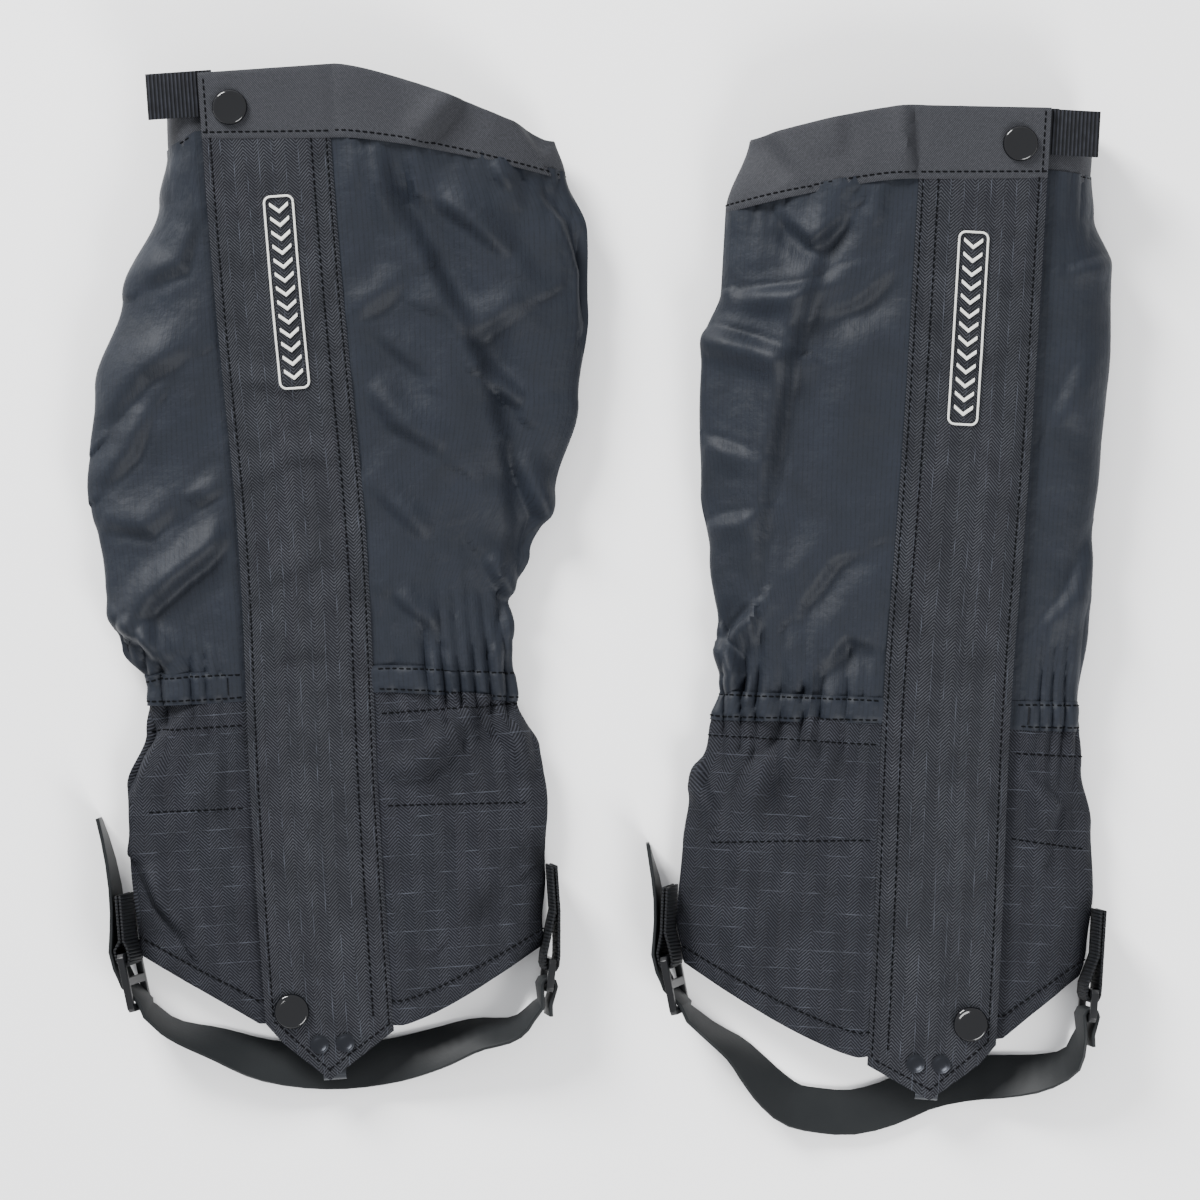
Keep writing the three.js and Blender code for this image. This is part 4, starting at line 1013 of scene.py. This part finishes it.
# ---- Embroidered badges ----
# A tall rounded frame round a column of plain chevrons, in white rayon satin stitch, sewn
# straight through the flap near its top.
BADGE = {"left": (5.6, 346), "right": (3.8, 339)}
BADGE_SIZE = (12.6, 84.0)
BADGE_CORNER = 2.8
CHEVRONS = 13
satin_thread, tree, shader = new_material(
    "white_rayon_thread", "#d9d9d4", 0.5, Specular_IOR_Level=0.4,
)
grained(tree, shader, 900.0, 2.0, 0.3, 0.0001)
for side in SIDES:
    u0, v0 = BADGE[side]
    runs = []
    half_u, half_v = BADGE_SIZE[0] / 2 - BADGE_CORNER, BADGE_SIZE[1] / 2 - BADGE_CORNER
    frame_line = []
    for quarter_turn, (su, sv) in enumerate(((1, 1), (-1, 1), (-1, -1), (1, -1))):
        for a in np.linspace(0, math.pi / 2, 9) + quarter_turn * math.pi / 2:
            frame_line.append((
                u0 + su * half_u + BADGE_CORNER * math.cos(a),
                v0 + sv * half_v + BADGE_CORNER * math.sin(a), 0,
            ))
    frame_line.append(frame_line[0])
    centres, ways = spaced_along(np.array(frame_line), 0.42)
    over = np.stack([ways[:, 1], -ways[:, 0], ways[:, 2]], -1)
    centres = flap_surface(side, centres[:, 0], centres[:, 1]) + (0, 0, 0.42)
    normals = np.broadcast_to(np.array([0, -FRONT_RISE, 1.0]), centres.shape)
    frame_threads = thread_piece(
        side + "_satin_frame", side, [(centres, over, normals)], 1.1, 0.5, 0.6, satin_thread,
    )
    belongs(frame_threads, side + "_flap")
    pitch = (BADGE_SIZE[1] - 5) / CHEVRONS
    for k in range(CHEVRONS):
        tip = v0 - BADGE_SIZE[1] / 2 + 2.6 + pitch * (k + 0.3)
        for way in (-1, 1):
            along = np.linspace(0.12, 3.9, 13)
            u = u0 + way * along
            v = tip + along * 0.8
            centres = flap_surface(side, u, v) + (0, 0, 0.42)
            ways = np.broadcast_to(np.array([0, 1.0, FRONT_RISE]), centres.shape)
            normals = np.broadcast_to(np.array([0, -FRONT_RISE, 1.0]), centres.shape)
            runs.append((centres, ways, normals))
    badge = thread_piece(side + "_satin_chevrons", side, runs, 1.9, 0.5, 0.6, satin_thread)
    belongs(badge, side + "_flap", side + "_badge")

# ---- Snap caps and rivets ----
# Glossy black lacquered press-stud caps, 15.4 mm across with a rolled rim and a dished face,
# and satin dark domed rivets of 8 mm that hold the lace hook behind the flap's point.
CAP_RADIUS = 7.7
RIVET_RADIUS = 4.1
gloss_lacquer, tree, shader = new_material(
    "black_gloss_lacquer", "#07080b", 0.1, Specular_IOR_Level=0.45,
)
satin_steel, tree, shader = new_material("satin_blackened_brass", "#26282d", 0.3, Metallic=0.8)
grained(tree, shader, 700.0, 3.0, 0.2, 0.0001)


def front_facing(side, node):
    """The place and turn that lays a round piece on the front, over one of the model's own."""
    low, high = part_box(node)
    tilt = math.atan(FRONT_RISE)
    turn = Matrix.Rotation(math.radians(LEAN[side]), 4, "Z") @ Matrix.Rotation(tilt, 4, "X")
    centre = Vector(((low[0] + high[0]) / 2, (low[1] + high[1]) / 2, high[2]))
    return centre, turn


def stamped_disc(name, radius, height, rings, centre, turn, material):
    """A disc of sheet metal pressed to a profile of (share of the radius, share of height)."""
    bpy.ops.mesh.primitive_cylinder_add(
        vertices=64, radius=radius * MM, depth=height * MM * 0.5, end_fill_type="NGON",
    )
    disc = bpy.context.object
    disc.name = name
    bpy.ops.object.mode_set(mode="EDIT")
    bpy.ops.mesh.select_all(action="DESELECT")
    bpy.ops.object.mode_set(mode="OBJECT")
    top = max(disc.data.polygons, key=lambda face: face.center.z)
    top.select = True
    bpy.ops.object.mode_set(mode="EDIT")
    reached = 1.0
    base = 0.25 * height
    for share, rise in rings:
        bpy.ops.mesh.inset(thickness=(reached - share) * radius * MM, depth=0)
        bpy.ops.transform.translate(value=(0, 0, (rise * height - base - 0.25 * height) * MM))
        base = rise * height - 0.25 * height
        reached = share
    bpy.ops.object.mode_set(mode="OBJECT")
    peak = max(vertex.co.z for vertex in disc.data.vertices)
    disc.data.transform(Matrix.Translation((0, 0, -peak)))
    disc.data.transform(turn)
    disc.data.transform(Matrix.Translation(centre))
    disc.location = (0, 0, 0)
    disc.data.materials.append(material)
    smooth(disc, 60)
    return disc


CAP_PROFILE = [(0.985, 0.62), (0.95, 0.8), (0.9, 0.93), (0.84, 1.0), (0.78, 0.98), (0.72, 0.88),
               (0.6, 0.83), (0.4, 0.8), (0.2, 0.79)]
RIVET_PROFILE = [(0.97, 0.5), (0.9, 0.62), (0.8, 0.6), (0.72, 0.7), (0.55, 0.88), (0.35, 0.97),
                 (0.15, 1.0)]
for side in SIDES:
    for place, radius, height, profile, material, slot in (
        ("top_snap_cap", CAP_RADIUS, 2.4, CAP_PROFILE, gloss_lacquer, "gloss_cap"),
        ("bottom_snap_cap", CAP_RADIUS, 2.4, CAP_PROFILE, gloss_lacquer, "gloss_cap"),
        ("inner_rivet", RIVET_RADIUS, 1.5, RIVET_PROFILE, satin_steel, "rivet_metal"),
        ("outer_rivet", RIVET_RADIUS, 1.5, RIVET_PROFILE, satin_steel, "rivet_metal"),
    ):
        node = side + "_" + place
        centre, turn = front_facing(side, node)
        disc = stamped_disc(node + "_pressed", radius, height, profile, centre, turn, material)
        belongs(disc, side + "_flap", node)

# ---- Webbing, straps and buckles ----
# Ribbed nylon webbing carries a moulded ladder-lock on one side and a plain ring on the other.
# A smooth coated strap runs between them under the boot, its spare end standing up.


def webbing_material(name, colour, turn, pitch):
    """Flat nylon webbing with ribs across it, whose run lies at a turn about the vertical, with
    painted shade in the grooves between the ribs and painted highlight on their crests.
    """
    material, tree, shader = new_material(name, colour, 0.6, Specular_IOR_Level=0.18)
    place = add(tree, "ShaderNodeTexCoord").outputs["Object"]
    way = (math.cos(turn) / MM, math.sin(turn) / MM, 0)
    run = add(tree, "ShaderNodeVectorMath", {0: place, 1: way}, operation="DOT_PRODUCT")
    ribs = line_threads(tree, run.outputs["Value"], pitch, pitch * 0.42)
    # Painted light: the rib crests take the webbing's colour, broken up at random by noise, and
    # the grooves between them are painted near black as shade.
    crest_light_noise = add(tree, "ShaderNodeTexNoise", {"Vector": place, "Scale": 260.0, "Detail": 3.0})
    lit = add(tree, "ShaderNodeMath", {0: ribs, 1: crest_light_noise.outputs["Fac"]}, operation="MULTIPLY")
    coloured = add(tree, "ShaderNodeMix", {
        "Factor": lit.outputs[0], 6: linear("#07080a"), 7: linear(colour),
    }, data_type="RGBA")
    tree.links.new(coloured.outputs[2], shader.inputs["Base Color"])
    bump = add(tree, "ShaderNodeBump", {"Height": ribs, "Strength": 0.9, "Distance": 0.0006})
    tree.links.new(bump.outputs["Normal"], shader.inputs["Normal"])
    return material


coated_webbing, tree, shader = new_material(
    "coated_nylon_strap", "#1c1f21", 0.5, Specular_IOR_Level=0.14,
)
place = grained(tree, shader, 900.0, 2.0, 0.25, 0.0002)
patchy = add(tree, "ShaderNodeTexNoise", {"Vector": place, "Scale": 30.0, "Detail": 3.0})
tone = add(tree, "ShaderNodeMix", {
    "Factor": patchy.outputs["Fac"], 6: linear("#121416"), 7: linear("#212324"),
}, data_type="RGBA")
tree.links.new(tone.outputs[2], shader.inputs["Base Color"])

acetal, tree, shader = new_material("moulded_acetal", "#111214", 0.32, Specular_IOR_Level=0.3)
grained(tree, shader, 500.0, 2.0, 0.2, 0.0001)


def finished(node, name, material, edge, segments):
    """The model's own solid with its flat faces joined up and its edges rounded."""
    bpy.ops.object.select_all(action="DESELECT")
    source = bpy.data.objects[node]
    piece = bpy.data.objects.new(name, source.data.copy())
    piece.data.transform(source.matrix_world)
    bpy.context.collection.objects.link(piece)
    piece.select_set(True)
    bpy.context.view_layer.objects.active = piece
    bpy.ops.object.mode_set(mode="EDIT")
    bpy.ops.mesh.select_all(action="SELECT")
    bpy.ops.mesh.remove_doubles(threshold=0.00001)
    bpy.ops.mesh.dissolve_limited(angle_limit=math.radians(1))
    bpy.ops.object.mode_set(mode="OBJECT")
    rounding = piece.modifiers.new("rounding", "BEVEL")
    rounding.width = edge * MM
    rounding.segments = segments
    rounding.limit_method = "ANGLE"
    rounding.angle_limit = math.radians(40)
    rounding.use_clamp_overlap = True
    bpy.ops.object.modifier_apply(modifier="rounding")
    piece.data.materials.clear()
    piece.data.materials.append(material)
    smooth(piece, 45)
    return piece


for side in SIDES:
    lean = math.radians(LEAN[side])
    across_web = webbing_material("ribbed_nylon_webbing_" + side, "#2a2c33", lean, 1.7)
    along_web = webbing_material("ribbed_nylon_tab_" + side, "#1f2125", lean + math.pi / 2, 1.5)
    for part, material, edge, slot, body in (
        ("calf_webbing", across_web, 0.5, "black_webbing", "_shell"),
        ("buckle_tab", along_web, 0.4, "black_webbing", "_strap"),
        ("ring_tab", along_web, 0.4, "black_webbing", "_strap"),
        ("underfoot_strap", coated_webbing, 0.5, "smooth_strap", "_strap"),
        ("ladder_buckle", acetal, 0.7, "moulded_plastic", "_strap"),
        ("strap_ring", acetal, 0.8, "moulded_plastic", "_strap"),
    ):
        node = side + "_" + part
        piece = finished(node, node + "_finished", material, edge, 3)
        belongs(piece, side + body, node)

# ---- Small metal and elastic ----
# The press studs' sockets, studs and posts, the lace hook and the flat
# elastic inside the ankle tunnel keep the model's own solids, each in its real stuff.
tinned, tree, shader = new_material("blackened_steel_wire", "#36383c", 0.35, Metallic=0.9)
grained(tree, shader, 600.0, 3.0, 0.2, 0.0001)
# The elastic's ribs take the same painted shade in their grooves and painted highlight on their
# crests as the webbing.
knitted = webbing_material("knitted_elastic", "#232428", 0.0, 1.2)
SMALL_METAL = (
    "_bottom_snap_post", "_bottom_snap_socket", "_bottom_snap_stud", "_lace_hook",
    "_top_snap_post", "_top_snap_socket", "_top_snap_stud",
)
for side in SIDES:
    for part in SMALL_METAL:
        own = bpy.data.objects[side + part].data
        own.materials.clear()
        own.materials.append(tinned)
    own = bpy.data.objects[side + "_ankle_elastic"].data
    own.materials.clear()
    own.materials.append(knitted)

# ---- How the cloth is cut ----
# The calf and boot panels are gathered onto the ankle elastic, and the rest lies flat on them.
# The sizes are estimates, one for both gaiters, chosen to agree with the modelled cloth's area.
for side in SIDES:
    name = bpy.data.objects
